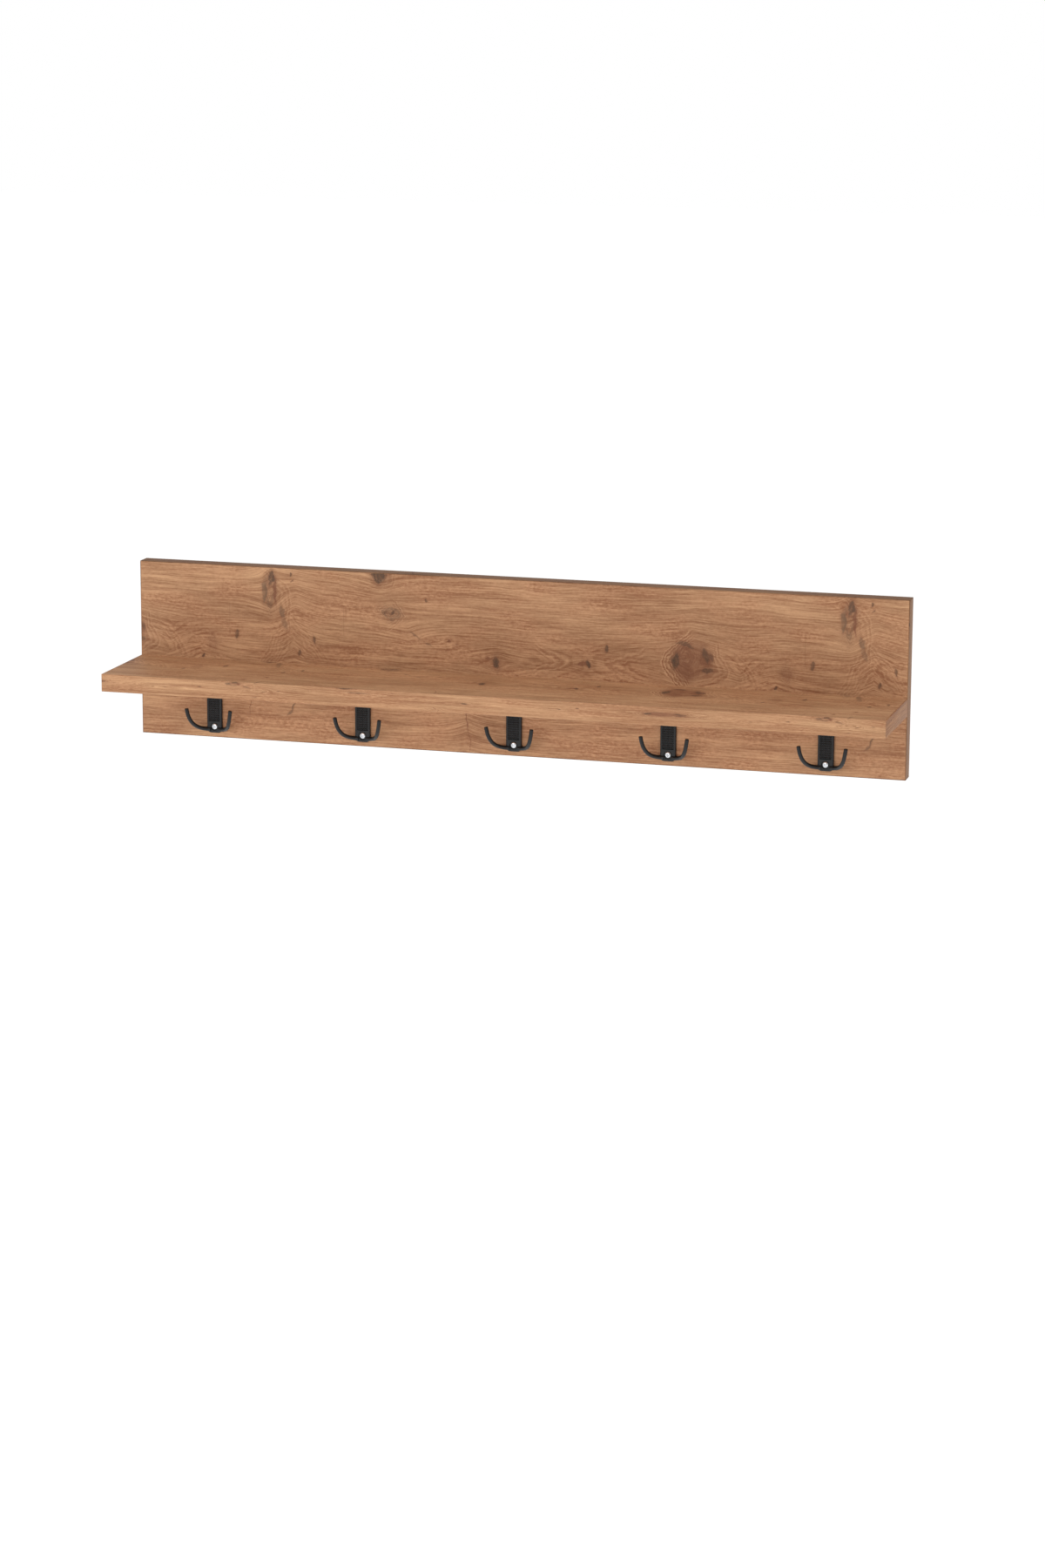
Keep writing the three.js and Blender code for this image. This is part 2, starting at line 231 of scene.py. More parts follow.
def grain_bend_group():
    """How far the grain is pushed across the board near a knot.

    The push fades as exp(-(|x| to the 1.3 + y squared)) in units of Reach. Pinch draws the lines
    together round the centre, and Lift carries them all one way into a pointed wave.
    """
    tree, net, entry, leave = new_group(
        "grain_bend",
        [("Place", "Vector"), ("Centre", "Vector"), ("Reach", "Vector"), ("Pinch", "Float"),
         ("Lift", "Float")],
        [("Shift", "Float")])
    offset = net.vector("SUBTRACT", entry["Place"], entry["Centre"])
    across = net.split(offset)[1]
    x, y, _ = net.split(net.vector("DIVIDE", offset, entry["Reach"]))
    sideways = net.math("POWER", net.math("ABSOLUTE", x), BEND_POWER)
    fall = net.math("ADD", sideways, net.math("MULTIPLY", y, y))
    weight = net.math("EXPONENT", net.math("MULTIPLY", fall, -1.0))
    push = net.math("ADD", net.math("MULTIPLY", across, entry["Pinch"]), entry["Lift"])
    shift = net.math("MULTIPLY", net.math("MULTIPLY", push, weight), -1.0)
    tree.links.new(shift, leave["Shift"])
    return tree


def knot_group():
    """An oval knot with slightly pointed ends.

    Its outline is where |x| to the 1.5 plus |y| to the 1.5 is 1, in units of the half size. Core is 1
    inside and fades over the edge, Rim is 1 along the edge only, Halo fades out at twice the size, and
    Ripples are thin rings around it that weaken outwards.
    """
    tree, net, entry, leave = new_group(
        "knot",
        [("Place", "Vector"), ("Centre", "Vector"), ("Half Size", "Vector"), ("Turn", "Float")],
        [("Core", "Float"), ("Rim", "Float"), ("Halo", "Float"), ("Ripples", "Float")])
    x, y, _ = from_centre(net, entry)
    powers = [net.math("POWER", net.math("ABSOLUTE", side), KNOT_POWER) for side in (x, y)]
    spread = net.math("POWER", net.math("ADD", *powers), 1 / KNOT_POWER)
    edge = net.math("ABSOLUTE", net.math("SUBTRACT", spread, 0.95))
    halo = net.ramp(spread, 0.9, 2.2, 1.0, 0.0)
    ring = net.math("FRACT", net.math("MULTIPLY", spread, 3.4))
    line = net.math("MULTIPLY", net.ramp(ring, 0.3, 0.8), net.ramp(ring, 0.84, 1.0, 1.0, 0.0))
    tree.links.new(net.ramp(spread, 0.80, 1.32, 1.0, 0.0), leave["Core"])
    tree.links.new(net.ramp(edge, 0.05, 0.36, 1.0, 0.0), leave["Rim"])
    tree.links.new(halo, leave["Halo"])
    tree.links.new(net.math("MULTIPLY", line, halo), leave["Ripples"])
    return tree


def arcs_group():
    """Nested arcs of grain that point one way.

    Each is a level line of |x| plus |y| to the power 1.12, with x along the pointing direction, both in
    units of the half size, and its tip slightly rounded. The first is at 1, and they are one Step apart
    up to Last. Dark and Pale are the two edges of each, worn away in places by noise.
    """
    tree, net, entry, leave = new_group(
        "pointed_arcs",
        [("Place", "Vector"), ("Centre", "Vector"), ("Half Size", "Vector"), ("Turn", "Float"),
         ("Step", "Float"), ("Last", "Float")],
        [("Dark", "Float"), ("Pale", "Float")])
    x, y, _ = from_centre(net, entry)
    side = net.math("POWER", net.math("ABSOLUTE", y), ARC_POWER)
    rounded = net.math("SQRT", net.math("ADD", net.math("MULTIPLY", side, side), 0.005))
    spread = net.math("ADD", net.math("ABSOLUTE", x), rounded)
    ring = net.math("FRACT", net.math("DIVIDE", net.math("SUBTRACT", spread, 1.0), entry["Step"]))
    past_first = net.math("GREATER_THAN", spread, 1.0)
    window = net.math("MULTIPLY", past_first, net.math("LESS_THAN", spread, entry["Last"]))
    window = net.math("MULTIPLY", window, net.ramp(x, -0.05, 0.35))
    worn = net.ramp(net.noise(entry["Place"], 170.0, 2.0), 0.32, 0.60, 0.3, 1.0)
    window = net.math("MULTIPLY", window, worn)
    dark = net.math("MULTIPLY", net.ramp(ring, 0.0, 0.25), net.ramp(ring, 0.3, 0.55, 1.0, 0.0))
    pale = net.math("MULTIPLY", net.ramp(ring, 0.45, 0.7), net.ramp(ring, 0.75, 1.0, 1.0, 0.0))
    tree.links.new(net.math("MULTIPLY", dark, window), leave["Dark"])
    tree.links.new(net.math("MULTIPLY", pale, window), leave["Pale"])
    return tree


def timber_group():
    """Printed pine figure.

    Rings are level lines of the distance from a pith line, bent by the knots. Fibres are noise stretched
    along the grain. Tone runs from 0, dark, to 1, light.
    """
    tree, net, entry, leave = new_group(
        "timber_figure",
        [("Place", "Vector"), ("Shift", "Float"), ("Rise", "Float"), ("Pith", "Float")],
        [("Tone", "Float"), ("Warmth", "Float"), ("Height", "Float")])
    along, across, _ = net.split(entry["Place"])
    wander = stretched(net, entry["Place"], 5, 18, 3.0)
    sway = net.math("MULTIPLY", net.math("SUBTRACT", wander, 0.5), 0.016)
    bent = net.math("ADD", net.math("ADD", across, entry["Shift"]), sway)
    from_pith = net.math("SUBTRACT", bent, entry["Pith"])
    away = net.math("SQRT", net.math("ADD", net.math("MULTIPLY", from_pith, from_pith), RING_CORE ** 2))
    flow = net.join(along, bent)
    phase = net.math("ADD", net.math("DIVIDE", away, RING_SPACING), entry["Rise"])
    phase = net.math("ADD", phase, net.math("MULTIPLY", stretched(net, flow, 28, 150, 3.0), 1.1))
    saw = net.math("FRACT", phase)
    line = net.math("MULTIPLY", net.ramp(saw, 0.45, 0.90), net.ramp(saw, 0.91, 1.0, 1.0, 0.0))
    patches = net.ramp(stretched(net, entry["Place"], 14, 34, 2.0), 0.46, 0.68)
    near = net.math("DIVIDE", net.math("SUBTRACT", across, entry["Pith"]), 0.026)
    near_pith = net.math("EXPONENT", net.math("MULTIPLY", net.math("MULTIPLY", near, near), -1.0))
    torn = net.ramp(stretched(net, flow, 60, 260, 3.0), 0.35, 0.62, 0.25, 1.0)
    shown = net.math("ADD", net.math("MULTIPLY", near_pith, 0.33), net.math("MULTIPLY", patches, 0.30))
    rings = net.math("MULTIPLY", net.math("MULTIPLY", line, shown), torn)
    fine_fibre = stretched(net, flow, 60, 2100, 3.0)
    long_fibre = stretched(net, flow, 14, 620, 5.0)
    streak = stretched(net, flow, 6, 120, 4.0)
    blotch = stretched(net, entry["Place"], 8, 20, 4.0)
    mottle = stretched(net, entry["Place"], 260, 420, 3.0)
    tone = 0.5
    for part, strength in ((fine_fibre, 1.05), (long_fibre, 1.10), (streak, 0.70), (blotch, 0.72)):
        tone = net.math("ADD", tone, net.math("MULTIPLY", net.math("SUBTRACT", part, 0.5), strength))
    unevenness = net.math("SUBTRACT", mottle, 0.5)
    patched = net.math("ADD", net.math("MULTIPLY", patches, 0.9), 0.35)
    tone = net.math("ADD", tone, net.math("MULTIPLY", unevenness, patched))
    pores = net.ramp(stretched(net, flow, 130, 1700, 2.0), 0.66, 0.80)
    tone = net.math("SUBTRACT", tone, net.math("MULTIPLY", pores, 0.16))
    tone = net.math("SUBTRACT", tone, net.math("MULTIPLY", rings, 0.55))
    tree.links.new(tone, leave["Tone"])
    tree.links.new(stretched(net, entry["Place"], 14, 34, 2.0), leave["Warmth"])
    long_part = net.math("MULTIPLY", long_fibre, 0.5)
    height = net.math("ADD", long_part, net.math("MULTIPLY", fine_fibre, 0.5))
    height = net.math("SUBTRACT", height, net.math("MULTIPLY", pores, 0.5))
    tree.links.new(net.math("SUBTRACT", height, net.math("MULTIPLY", rings, 0.25)), leave["Height"])
    return tree


def stretched(net, place, along, across, detail):
    """Noise with so many features to the metre along the grain and across it."""
    scaled = net.vector("MULTIPLY", place, (float(along), float(across), 1.0))
    return net.noise(scaled, 1.0, detail, 0.58)


def chipboard_group():
    """Pressed wood chips: pale and dark flakes of a few millimetres, one tone to each cell."""
    tree, net, entry, leave = new_group("chipboard", [("Place", "Vector")], [("Color", "Color")])
    place = net.vector("MULTIPLY", entry["Place"], (0.6, 1.0, 1.0))
    flakes = net.add("ShaderNodeTexVoronoi", {"Vector": place, "Scale": 620.0})
    speck = net.split(flakes.outputs["Color"])[0]
    tree.links.new(net.mix(speck, rgba(150, 116, 78), rgba(214, 184, 140)), leave["Color"])
    return tree


def fine_texture_group():
    """A fine even pebbling, as of powder coat or pressed foil: Height and a Mottle of its gloss."""
    tree, net, entry, leave = new_group(
        "fine_texture",
        [("Place", "Vector"), ("Grain Size", "Float")],
        [("Height", "Float"), ("Mottle", "Float")])
    scale = net.math("DIVIDE", 1.0, entry["Grain Size"])
    tree.links.new(net.noise(entry["Place"], scale, 2.0, 0.5), leave["Height"])
    tree.links.new(net.noise(entry["Place"], 160.0, 3.0), leave["Mottle"])
    return tree


def edge_wear_group():
    """A mask of exposed edges: where a rounded normal leaves the true one, broken up by noise."""
    tree, net, entry, leave = new_group(
        "edge_wear", [("Place", "Vector"), ("Amount", "Float")], [("Mask", "Float")])
    rounded = net.add("ShaderNodeBevel", {"Radius": 0.35 * MM}, samples=6).outputs[0]
    true = net.add("ShaderNodeNewGeometry").outputs["Normal"]
    alike = net.dot(rounded, true)
    broken = net.ramp(net.noise(entry["Place"], 900.0, 4.0), 0.45, 0.62)
    edge = net.ramp(alike, 0.80, 0.97, 1.0, 0.0)
    worn = net.math("MULTIPLY", edge, broken)
    tree.links.new(net.math("MULTIPLY", worn, entry["Amount"]), leave["Mask"])
    return tree


GRAIN_BEND = grain_bend_group()
KNOT = knot_group()
POINTED_ARCS = arcs_group()
TIMBER = timber_group()
CHIPBOARD = chipboard_group()
FINE_TEXTURE = fine_texture_group()
EDGE_WEAR = edge_wear_group()


# ---------------------------------------------------------------- decor: knots listed one by one

# The printed figure repeats along the board. All places are millimetres: along the grain from the
# rack's middle, then across it from the back board's middle.
REPEAT_START, REPEAT_LENGTH = -185, 600
PITH_HEIGHT = 9
SHELF_PRINT_START = 72

# The wall face and the shelf's underside show the print from this much further along.
HIDDEN_PRINT_OFFSET = 190

# The shelf's front band shows the print's height FRONT_PRINT_HEIGHT at its level FRONT_PRINT_LEVEL,
# squeezed from there on. Its fibres have a height, a squeeze and a stretch of their own.
FRONT_PRINT_LEVEL, FRONT_PRINT_HEIGHT, FRONT_PRINT_SQUEEZE = -16, 7.5, 10.0
FRONT_FIBRE_HEIGHT, FRONT_FIBRE_SQUEEZE, FRONT_FIBRE_STRETCH = 110, 2.2, 0.8

PINE_DARK = rgba(130, 85, 54)
PINE_LIGHT = rgba(202, 157, 117)
PINE_WARM = rgba(176, 114, 80)
JOIN_BROWN = rgba(104, 66, 44)
KNOT_DARK = rgba(80, 64, 48)
KNOT_GREY = rgba(104, 86, 66)
KNOT_BROWN = rgba(122, 76, 52)
ARC_DARK = rgba(134, 84, 54)
ARC_PALE = rgba(210, 164, 124)

# name: (place), (half size), turn in degrees, colour, then how strongly its fill, rim and ripples show
FACE_KNOTS = {
    "top_edge": ((-142.5, 89.5), (7.6, 9.4), 0, KNOT_DARK, 1.0, 0.0, 0.35),
    "smudge": ((-130.0, 49.5), (9.5, 5.8), -12, KNOT_GREY, 0.22, 0.30, 0.60),
    "smudge_eye": ((-128.0, 50.5), (3.6, 1.5), 40, KNOT_DARK, 0.75, 0.0, 0.0),
    "smudge_left": ((-136.5, 50.5), (2.8, 1.1), 50, KNOT_DARK, 0.6, 0.0, 0.0),
    "fleck": ((-93.0, 65.3), (1.2, 1.6), 0, KNOT_DARK, 0.85, 0.0, 0.0),
    "stroke": ((-105.0, 27.0), (6.0, 1.0), -20, KNOT_GREY, 0.55, 0.0, 0.0),
    "stroke_end": ((-92.0, 20.5), (5.0, 0.9), -28, KNOT_GREY, 0.45, 0.0, 0.0),
    "comma": ((-70.5, 23.5), (2.0, 1.2), 20, KNOT_BROWN, 0.85, 0.0, 0.0),
    "comma_tail": ((-61.0, 21.8), (2.4, 0.9), 10, KNOT_BROWN, 0.6, 0.0, 0.0),
    "low_left": ((-18.8, 5.6), (3.6, 5.8), 8, KNOT_DARK, 0.95, 0.0, 0.30),
    "low_left_wing": ((-26.6, 8.8), (2.6, 1.2), 10, KNOT_BROWN, 0.75, 0.0, 0.0),
    "wing": ((70.0, 7.4), (5.0, 1.5), 0, KNOT_BROWN, 0.8, 0.0, 0.0),
    "diamond": ((76.4, 7.4), (2.3, 4.0), 5, KNOT_DARK, 1.0, 0.0, 0.0),
    "seed": ((95.4, 25.6), (1.5, 3.4), -8, KNOT_DARK, 0.85, 0.0, 0.0),
    "burl": ((183.5, 17.0), (21.5, 18.5), -24, KNOT_BROWN, 0.52, 0.0, 0.0),
    "burl_low": ((176.0, 5.0), (9.0, 10.5), 20, KNOT_BROWN, 0.38, 0.0, 0.0),
    "burl_swirl": ((177.0, 22.0), (7.5, 9.5), 10, KNOT_BROWN, 0.05, 0.28, 0.60),
    "burl_heart": ((197.0, 20.0), (7.5, 6.5), 20, KNOT_BROWN, 0.15, 0.35, 0.60),
    "burl_left_eye": ((166.0, 15.8), (3.7, 8.6), -18, KNOT_DARK, 1.0, 0.0, 0.25),
    "burl_top": ((176.0, 33.0), (9.0, 2.4), -12, KNOT_DARK, 0.6, 0.0, 0.0),
    "burl_right_eye": ((197.0, 24.0), (3.8, 7.0), 10, KNOT_DARK, 0.75, 0.0, 0.40),
    "burl_far_eye": ((203.5, 22.5), (1.8, 5.0), 16, KNOT_DARK, 0.55, 0.0, 0.0),
    "burl_foot": ((199.0, 8.0), (6.5, 2.0), 6, KNOT_DARK, 0.75, 0.0, 0.2),
    "ridge_dot": ((268.6, -5.6), (1.3, 1.8), 0, KNOT_DARK, 0.95, 0.0, 0.0),
    "brown_smudge": ((279.0, 10.0), (5.0, 9.0), 6, KNOT_BROWN, 0.22, 0.0, 0.25),
    "mid_seed": ((304.2, 18.4), (2.2, 4.6), 0, KNOT_DARK, 0.75, 0.0, 0.0),
    "lens": ((341.6, 67.0), (5.0, 16.0), -3, KNOT_DARK, 0.0, 0.45, 0.40),
    "lens_top": ((342.6, 78.5), (2.6, 7.0), -6, KNOT_DARK, 0.9, 0.0, 0.0),
    "lens_left": ((335.4, 66.0), (2.8, 11.0), -6, KNOT_GREY, 0.70, 0.0, 0.0),
    "lens_right": ((346.8, 64.0), (1.6, 11.0), 4, KNOT_BROWN, 0.9, 0.0, 0.0),
    "upper_dash": ((362.5, 83.6), (2.0, 0.9), 35, KNOT_DARK, 0.75, 0.0, 0.0),
    "upper_dash_low": ((363.0, 77.5), (2.2, 0.9), 38, KNOT_DARK, 0.7, 0.0, 0.0),
    "tail": ((353.0, 45.0), (2.0, 6.0), 14, KNOT_GREY, 0.6, 0.0, 0.0),
    "tail_foot": ((355.0, 33.0), (2.4, 6.0), 8, KNOT_GREY, 0.4, 0.0, 0.0),
    "right_seed": ((388.4, 17.3), (1.7, 4.2), 14, KNOT_DARK, 0.75, 0.0, 0.0),
    "right_low": ((372.5, 3.6), (2.3, 3.2), 0, KNOT_DARK, 0.8, 0.0, 0.0),
    "under_dot": ((364.0, -25.5), (2.0, 2.6), 30, KNOT_BROWN, 0.75, 0.0, 0.0),
    "slant": ((363.5, -55.0), (1.1, 7.0), -34, KNOT_GREY, 0.75, 0.0, 0.0),
    "right_dot": ((345.0, -43.0), (1.4, 2.2), 0, KNOT_BROWN, 0.7, 0.0, 0.0),
    "crack": ((-50.0, -57.0), (0.55, 13.0), 9, KNOT_BROWN, 0.75, 0.0, 0.0),
    "crack_foot": ((-47.0, -78.0), (0.5, 9.0), 6, KNOT_BROWN, 0.65, 0.0, 0.0),
    "crease": ((319.0, -54.0), (0.45, 11.0), 0, KNOT_BROWN, 0.6, 0.0, 0.0),
}

# Nested arcs: centre, half size, direction they point in degrees, step, number, strength
FACE_ARCS = {
    "burl_left": ((184.0, 13.5), (18.5, 22.0), 180, 0.19, 5, 0.85),
    "burl_right": ((196.0, 14.0), (13.0, 16.0), -24, 0.38, 3, 0.38),
    "burl_far_right": ((222.0, 5.0), (14.0, 11.0), -18, 0.50, 3, 0.28),
    "left_of_diamond": ((18.0, 10.0), (17.0, 8.0), 0, 0.75, 2, 0.45),
    "right_of_diamond": ((138.0, 9.0), (21.0, 9.0), 180, 0.80, 2, 0.40),
    "chevrons": ((366.0, -8.0), (15.0, 12.0), 96, 0.40, 7, 0.26),
    "smudge_right": ((-133.0, 48.0), (9.0, 10.0), -8, 0.38, 3, 0.38),
    "lens_right": ((343.0, 58.0), (9.0, 20.0), 24, 0.50, 3, 0.30),
    "ridge": ((270.0, -12.0), (7.0, 12.0), 100, 0.65, 2, 0.24),
    "edge_rays": ((-146.0, 92.0), (9.0, 12.0), -42, 0.45, 4, 0.34),
}

# Noise that makes the marks' outlines ragged: features to the metre, reach in millimetres.
RAGGED_NOISE = ((60.0, 11.0), (420.0, 2.6))

HALO_STRENGTH = 0.34
PALE_ARC_SHARE = 0.8

# Vertical and level joins between the printed staves: place, half size.
STAVE_JOINS = (
    ((-20.0, 53.8), (165.0, 0.35)),
    ((297.0, 35.0), (0.35, 16.5)),
    ((-180.4, 38.5), (0.35, 14.0)),
)

# Where the grain bends: place, reach along and across, pinch, lift in millimetres.
GRAIN_BENDS = (
    ((-142.5, 92.0), (26, 22), 0.85, 0),
    ((-130.0, 49.5), (20, 12), 0.8, 0),
    ((-112.0, 27.0), (22, 14), 0.0, -7),
    ((-70.0, 22.0), (20, 9), 0.7, 0),
    ((-18.6, 5.0), (24, 13), 0.85, 0),
    ((76.4, 7.4), (20, 10), 0.75, 0),
    ((182.0, 18.0), (30, 26), 0.95, 0),
    ((232.0, 4.0), (17, 17), 0.0, -9),
    ((268.0, -6.0), (22, 16), 0.5, 5),
    ((342.0, 67.0), (16, 26), 0.9, 0),
    ((366.0, 22.0), (17, 26), 0.0, 13),
    ((368.0, 62.0), (22, 24), 0.0, 8),
    ((330.0, 80.0), (40, 12), 0.0, -5),
    ((-50.0, -60.0), (12, 24), 0.0, 6),
)

# Swells in the ring count that close the figure into arches: place along, reach, rings.
ARCHES = ((76.0, 60.0, 5.5), (236.0, 46.0, 4.0), (366.0, 50.0, 2.0))


def millimetres(*values):
    """A place in millimetres as a vector in metres."""
    return tuple(value * MM for value in values) + (0.0,) * (3 - len(values))


def flat_size(along, across):
    """A size in the plane of the print as a vector in metres, its third part a whole metre."""
    return millimetres(along, across, 1000)


def total(net, parts):
    """The sum of the parts."""
    result = parts[0]
    for part in parts[1:]:
        result = net.math("ADD", result, part)
    return result


def repeated_place(net, place):
    """The place within one repeat of the print."""
    along, across, _ = net.split(place)
    start, end = REPEAT_START * MM, (REPEAT_START + REPEAT_LENGTH) * MM
    return net.join(net.math("WRAP", along, end, start), across)


def grain_shift(net, place):
    """All the bends' pushes on the grain, added up."""
    return total(net, [
        net.group(GRAIN_BEND, Place=place, Centre=millimetres(*centre), Reach=flat_size(*reach),
                  Pinch=pinch, Lift=lift * MM)["Shift"]
        for centre, reach, pinch, lift in GRAIN_BENDS])


def arch_rise(net, place):
    """How many rings the arches add here: each adds its count times exp(-distance over reach)."""
    along = net.split(place)[0]
    rise = 0.0
    for centre, reach, count in ARCHES:
        distance = net.math("ABSOLUTE", net.math("SUBTRACT", along, centre * MM))
        apart = net.math("DIVIDE", distance, reach * MM)
        swell = net.math("EXPONENT", net.math("MULTIPLY", apart, -1.0))
        rise = net.math("ADD", rise, net.math("MULTIPLY", swell, count))
    return rise


def ragged_place(net, place):
    """The place pushed about by coarse and by fine noise, so that a mark's outline is ragged."""
    torn = place
    for scale, reach in RAGGED_NOISE:
        noise = net.add("ShaderNodeTexNoise", {"Vector": place, "Scale": scale, "Detail": 2.0})
        drift = net.vector("SUBTRACT", noise.outputs["Color"], (0.5, 0.5, 0.5))
        torn = net.vector("ADD", torn, net.vector("MULTIPLY", drift, millimetres(reach, reach, 0)))
    return net.vector("MULTIPLY", torn, (1.0, 1.0, 0.0))


def with_arcs(net, color, place):
    """The colour with the nested arcs printed over it."""
    for centre, half, turn, step, count, strength in FACE_ARCS.values():
        lines = net.group(POINTED_ARCS, Place=place, Centre=millimetres(*centre),
                          Half_Size=flat_size(*half), Turn=math.radians(-turn), Step=step,
                          Last=1 + step * count)
        color = net.mix(net.math("MULTIPLY", lines["Dark"], strength), color, ARC_DARK)
        pale = net.math("MULTIPLY", lines["Pale"], PALE_ARC_SHARE * strength)
        color = net.mix(pale, color, ARC_PALE)
    return color


def with_knots(net, color, place):
    """The colour with the knots printed over it: a brown halo, then ripples, rim and core in flecks."""
    spots = net.ramp(net.noise(place, 1500.0, 2.0), 0.40, 0.62, 0.0, 0.55)
    flecked = net.ramp(stretched(net, place, 460, 150, 3.0), 0.38, 0.56, 0.65, 1.0)
    for centre, half, turn, dark, fill, rim, ripples in FACE_KNOTS.values():
        knot = net.group(KNOT, Place=place, Centre=millimetres(*centre), Half_Size=flat_size(*half),
                         Turn=math.radians(-turn))
        halo = net.math("MULTIPLY", knot["Halo"], HALO_STRENGTH * max(fill, rim))
        color = net.mix(halo, color, KNOT_BROWN)
        stain = net.mix(spots, dark, KNOT_BROWN)
        for mark, strength in (("Ripples", ripples), ("Rim", rim), ("Core", fill)):
            if strength:
                shown = net.math("MULTIPLY", net.math("MULTIPLY", knot[mark], strength), flecked)
                color = net.mix(shown, color, stain)
    return color


def with_stave_joins(net, color, place):
    """The colour with the joins between staves as thin darker lines."""
    for centre, half in STAVE_JOINS:
        offset = net.vector("SUBTRACT", place, millimetres(*centre))
        x, y, _ = net.split(net.vector("DIVIDE", offset, flat_size(*half)))
        inside = net.math("MAXIMUM", net.math("ABSOLUTE", x), net.math("ABSOLUTE", y))
        color = net.mix(net.ramp(inside, 0.9, 1.1, 0.22, 0.0), color, JOIN_BROWN)
    return color


def decor(net, place, figure_place=None):
    """The pine decor's colour, roughness and normal.

    place is along the grain and across it, in metres. The fibres may read a place of their own.
    """
    repeated = repeated_place(net, place)
    figure = net.group(TIMBER, Place=figure_place or place, Shift=grain_shift(net, repeated),
                       Rise=arch_rise(net, repeated), Pith=PITH_HEIGHT * MM)
    color = net.mix(net.ramp(figure["Tone"], 0.0, 1.0), PINE_DARK, PINE_LIGHT)
    color = net.mix(net.ramp(figure["Warmth"], 0.35, 0.65, 0.0, 0.18), color, PINE_WARM)
    ragged = ragged_place(net, repeated)
    color = with_arcs(net, color, ragged)
    color = with_knots(net, color, ragged)
    color = with_stave_joins(net, color, repeated)
    normal = net.bump(figure["Height"], 0.35, 0.08 * MM)
    roughness = net.ramp(figure["Height"], 0.3, 0.7, 0.62, 0.50)
    return color, roughness, normal


def finish_shader(net, shader, color, roughness, normal):
    """The surface's colour, roughness and normal wired to its shader."""
    net.tree.links.new(color, shader.inputs["Base Color"])
    net.tree.links.new(roughness, shader.inputs["Roughness"])
    net.tree.links.new(normal, shader.inputs["Normal"])


def finish_decor(net, shader, color, roughness, normal):
    """Pressed decor foil: matt, with a weak sheen of its own."""
    finish_shader(net, shader, color, roughness, normal)
    shader.inputs["Specular IOR Level"].default_value = 0.28


def object_vector(net):
    """The place on the object, in metres."""
    return net.add("ShaderNodeTexCoord").outputs["Object"]


# Boards, in millimetres. The decor foil is what hides the chips at each face.
BOARD_THICKNESS, DECOR_FOIL = 18, 0.1
BACK_BOARD_FRONT, SHELF_BOARD_LOW = -18, -26


def board_material(name, face_place, far_face):
    """Decor on a board's two faces and pressed chips wherever the board is cut into between them.

    far_face is the level, in millimetres, of the face on the negative side.
    """
    material, net, shader = new_material(name)
    position = object_vector(net)
    place, through = face_place(net, *net.split(position))
    color, roughness, normal = decor(net, place)
    chips = net.group(CHIPBOARD, Place=position)
    low, high = far_face + DECOR_FOIL, far_face + BOARD_THICKNESS - DECOR_FOIL
    color = net.mix(between(net, through, low * MM, high * MM), color, chips["Color"])
    finish_decor(net, shader, color, roughness, normal)
    return material


def between(net, value, low, high):
    """1 where the value lies between the limits, in metres."""
    above = net.math("GREATER_THAN", value, low)
    return net.math("MULTIPLY", above, net.math("LESS_THAN", value, high))


def behind(net, value, limit, distance):
    """The distance where the value is past the limit, and nothing before it, in millimetres both."""
    return net.math("MULTIPLY", net.math("GREATER_THAN", value, limit * MM), distance * MM)


def back_board_place(net, x, y, z):
    """The back board's faces: along X and up Z, with another stretch of the print on the wall face."""
    hidden = behind(net, y, BACK_BOARD_FRONT + BOARD_THICKNESS / 2, HIDDEN_PRINT_OFFSET)
    return net.join(net.math("ADD", x, hidden), z), y


def shelf_board_place(net, x, y, z):
    """The shelf's faces: along X and out along Y, with another stretch of the print underneath."""
    downwards = net.math("MULTIPLY", z, -1.0)
    hidden = behind(net, downwards, -(SHELF_BOARD_LOW + BOARD_THICKNESS / 2), HIDDEN_PRINT_OFFSET)
    return net.join(net.math("ADD", x, hidden), net.math("ADD", y, SHELF_PRINT_START * MM)), z


def band_material(name, place_of, painted_shade, figure_of=None):
    """The decor on an edge band, its colour multiplied by a painted shade that darkens the band by the way
    it faces the lights.
    """
    material, net, shader = new_material(name)
    position = net.split(object_vector(net))
    place = place_of(net, *position)
    color, roughness, normal = decor(net, place, figure_of and figure_of(net, *position))
    # Painted shade: the decor darkened by a fixed factor chosen for this band's facing.
    color = net.vector("MULTIPLY", color, painted_shade)
    finish_decor(net, shader, color, roughness, normal)
    return material


def front_band_place(net, x, y, z):
    """The shelf's front band shows a tall stretch of the print squeezed into its own height."""
    height = net.math("MULTIPLY", net.math("SUBTRACT", z, FRONT_PRINT_LEVEL * MM), FRONT_PRINT_SQUEEZE)
    return net.join(x, net.math("ADD", height, FRONT_PRINT_HEIGHT * MM))


def front_band_figure(net, x, y, z):
    """The front band's fibres and streaks, squeezed less than its knots."""
    along = net.math("MULTIPLY", x, FRONT_FIBRE_STRETCH)
    height = net.math("MULTIPLY", z, FRONT_FIBRE_SQUEEZE)
    return net.join(along, net.math("ADD", height, FRONT_FIBRE_HEIGHT * MM))


def print_strip(net, along, across, start, height):
    """A strip of the print squeezed to half its width, from a start and a height in millimetres."""
    squeezed = net.math("ADD", net.math("MULTIPLY", across, 2.0), height * MM)
    return net.join(net.math("ADD", along, start * MM), squeezed)


def level_band_place(net, x, y, z):
    """Top and bottom bands: the grain runs along X."""
    return print_strip(net, x, y, 60, -40)


def upright_band_place(net, x, y, z):
    """Side bands of the back board: the grain runs up them."""
    return print_strip(net, z, y, 30, 62)


def shelf_end_place(net, x, y, z):
    """End bands of the shelf: the grain runs out from the wall."""
    return print_strip(net, y, z, 10, 90)


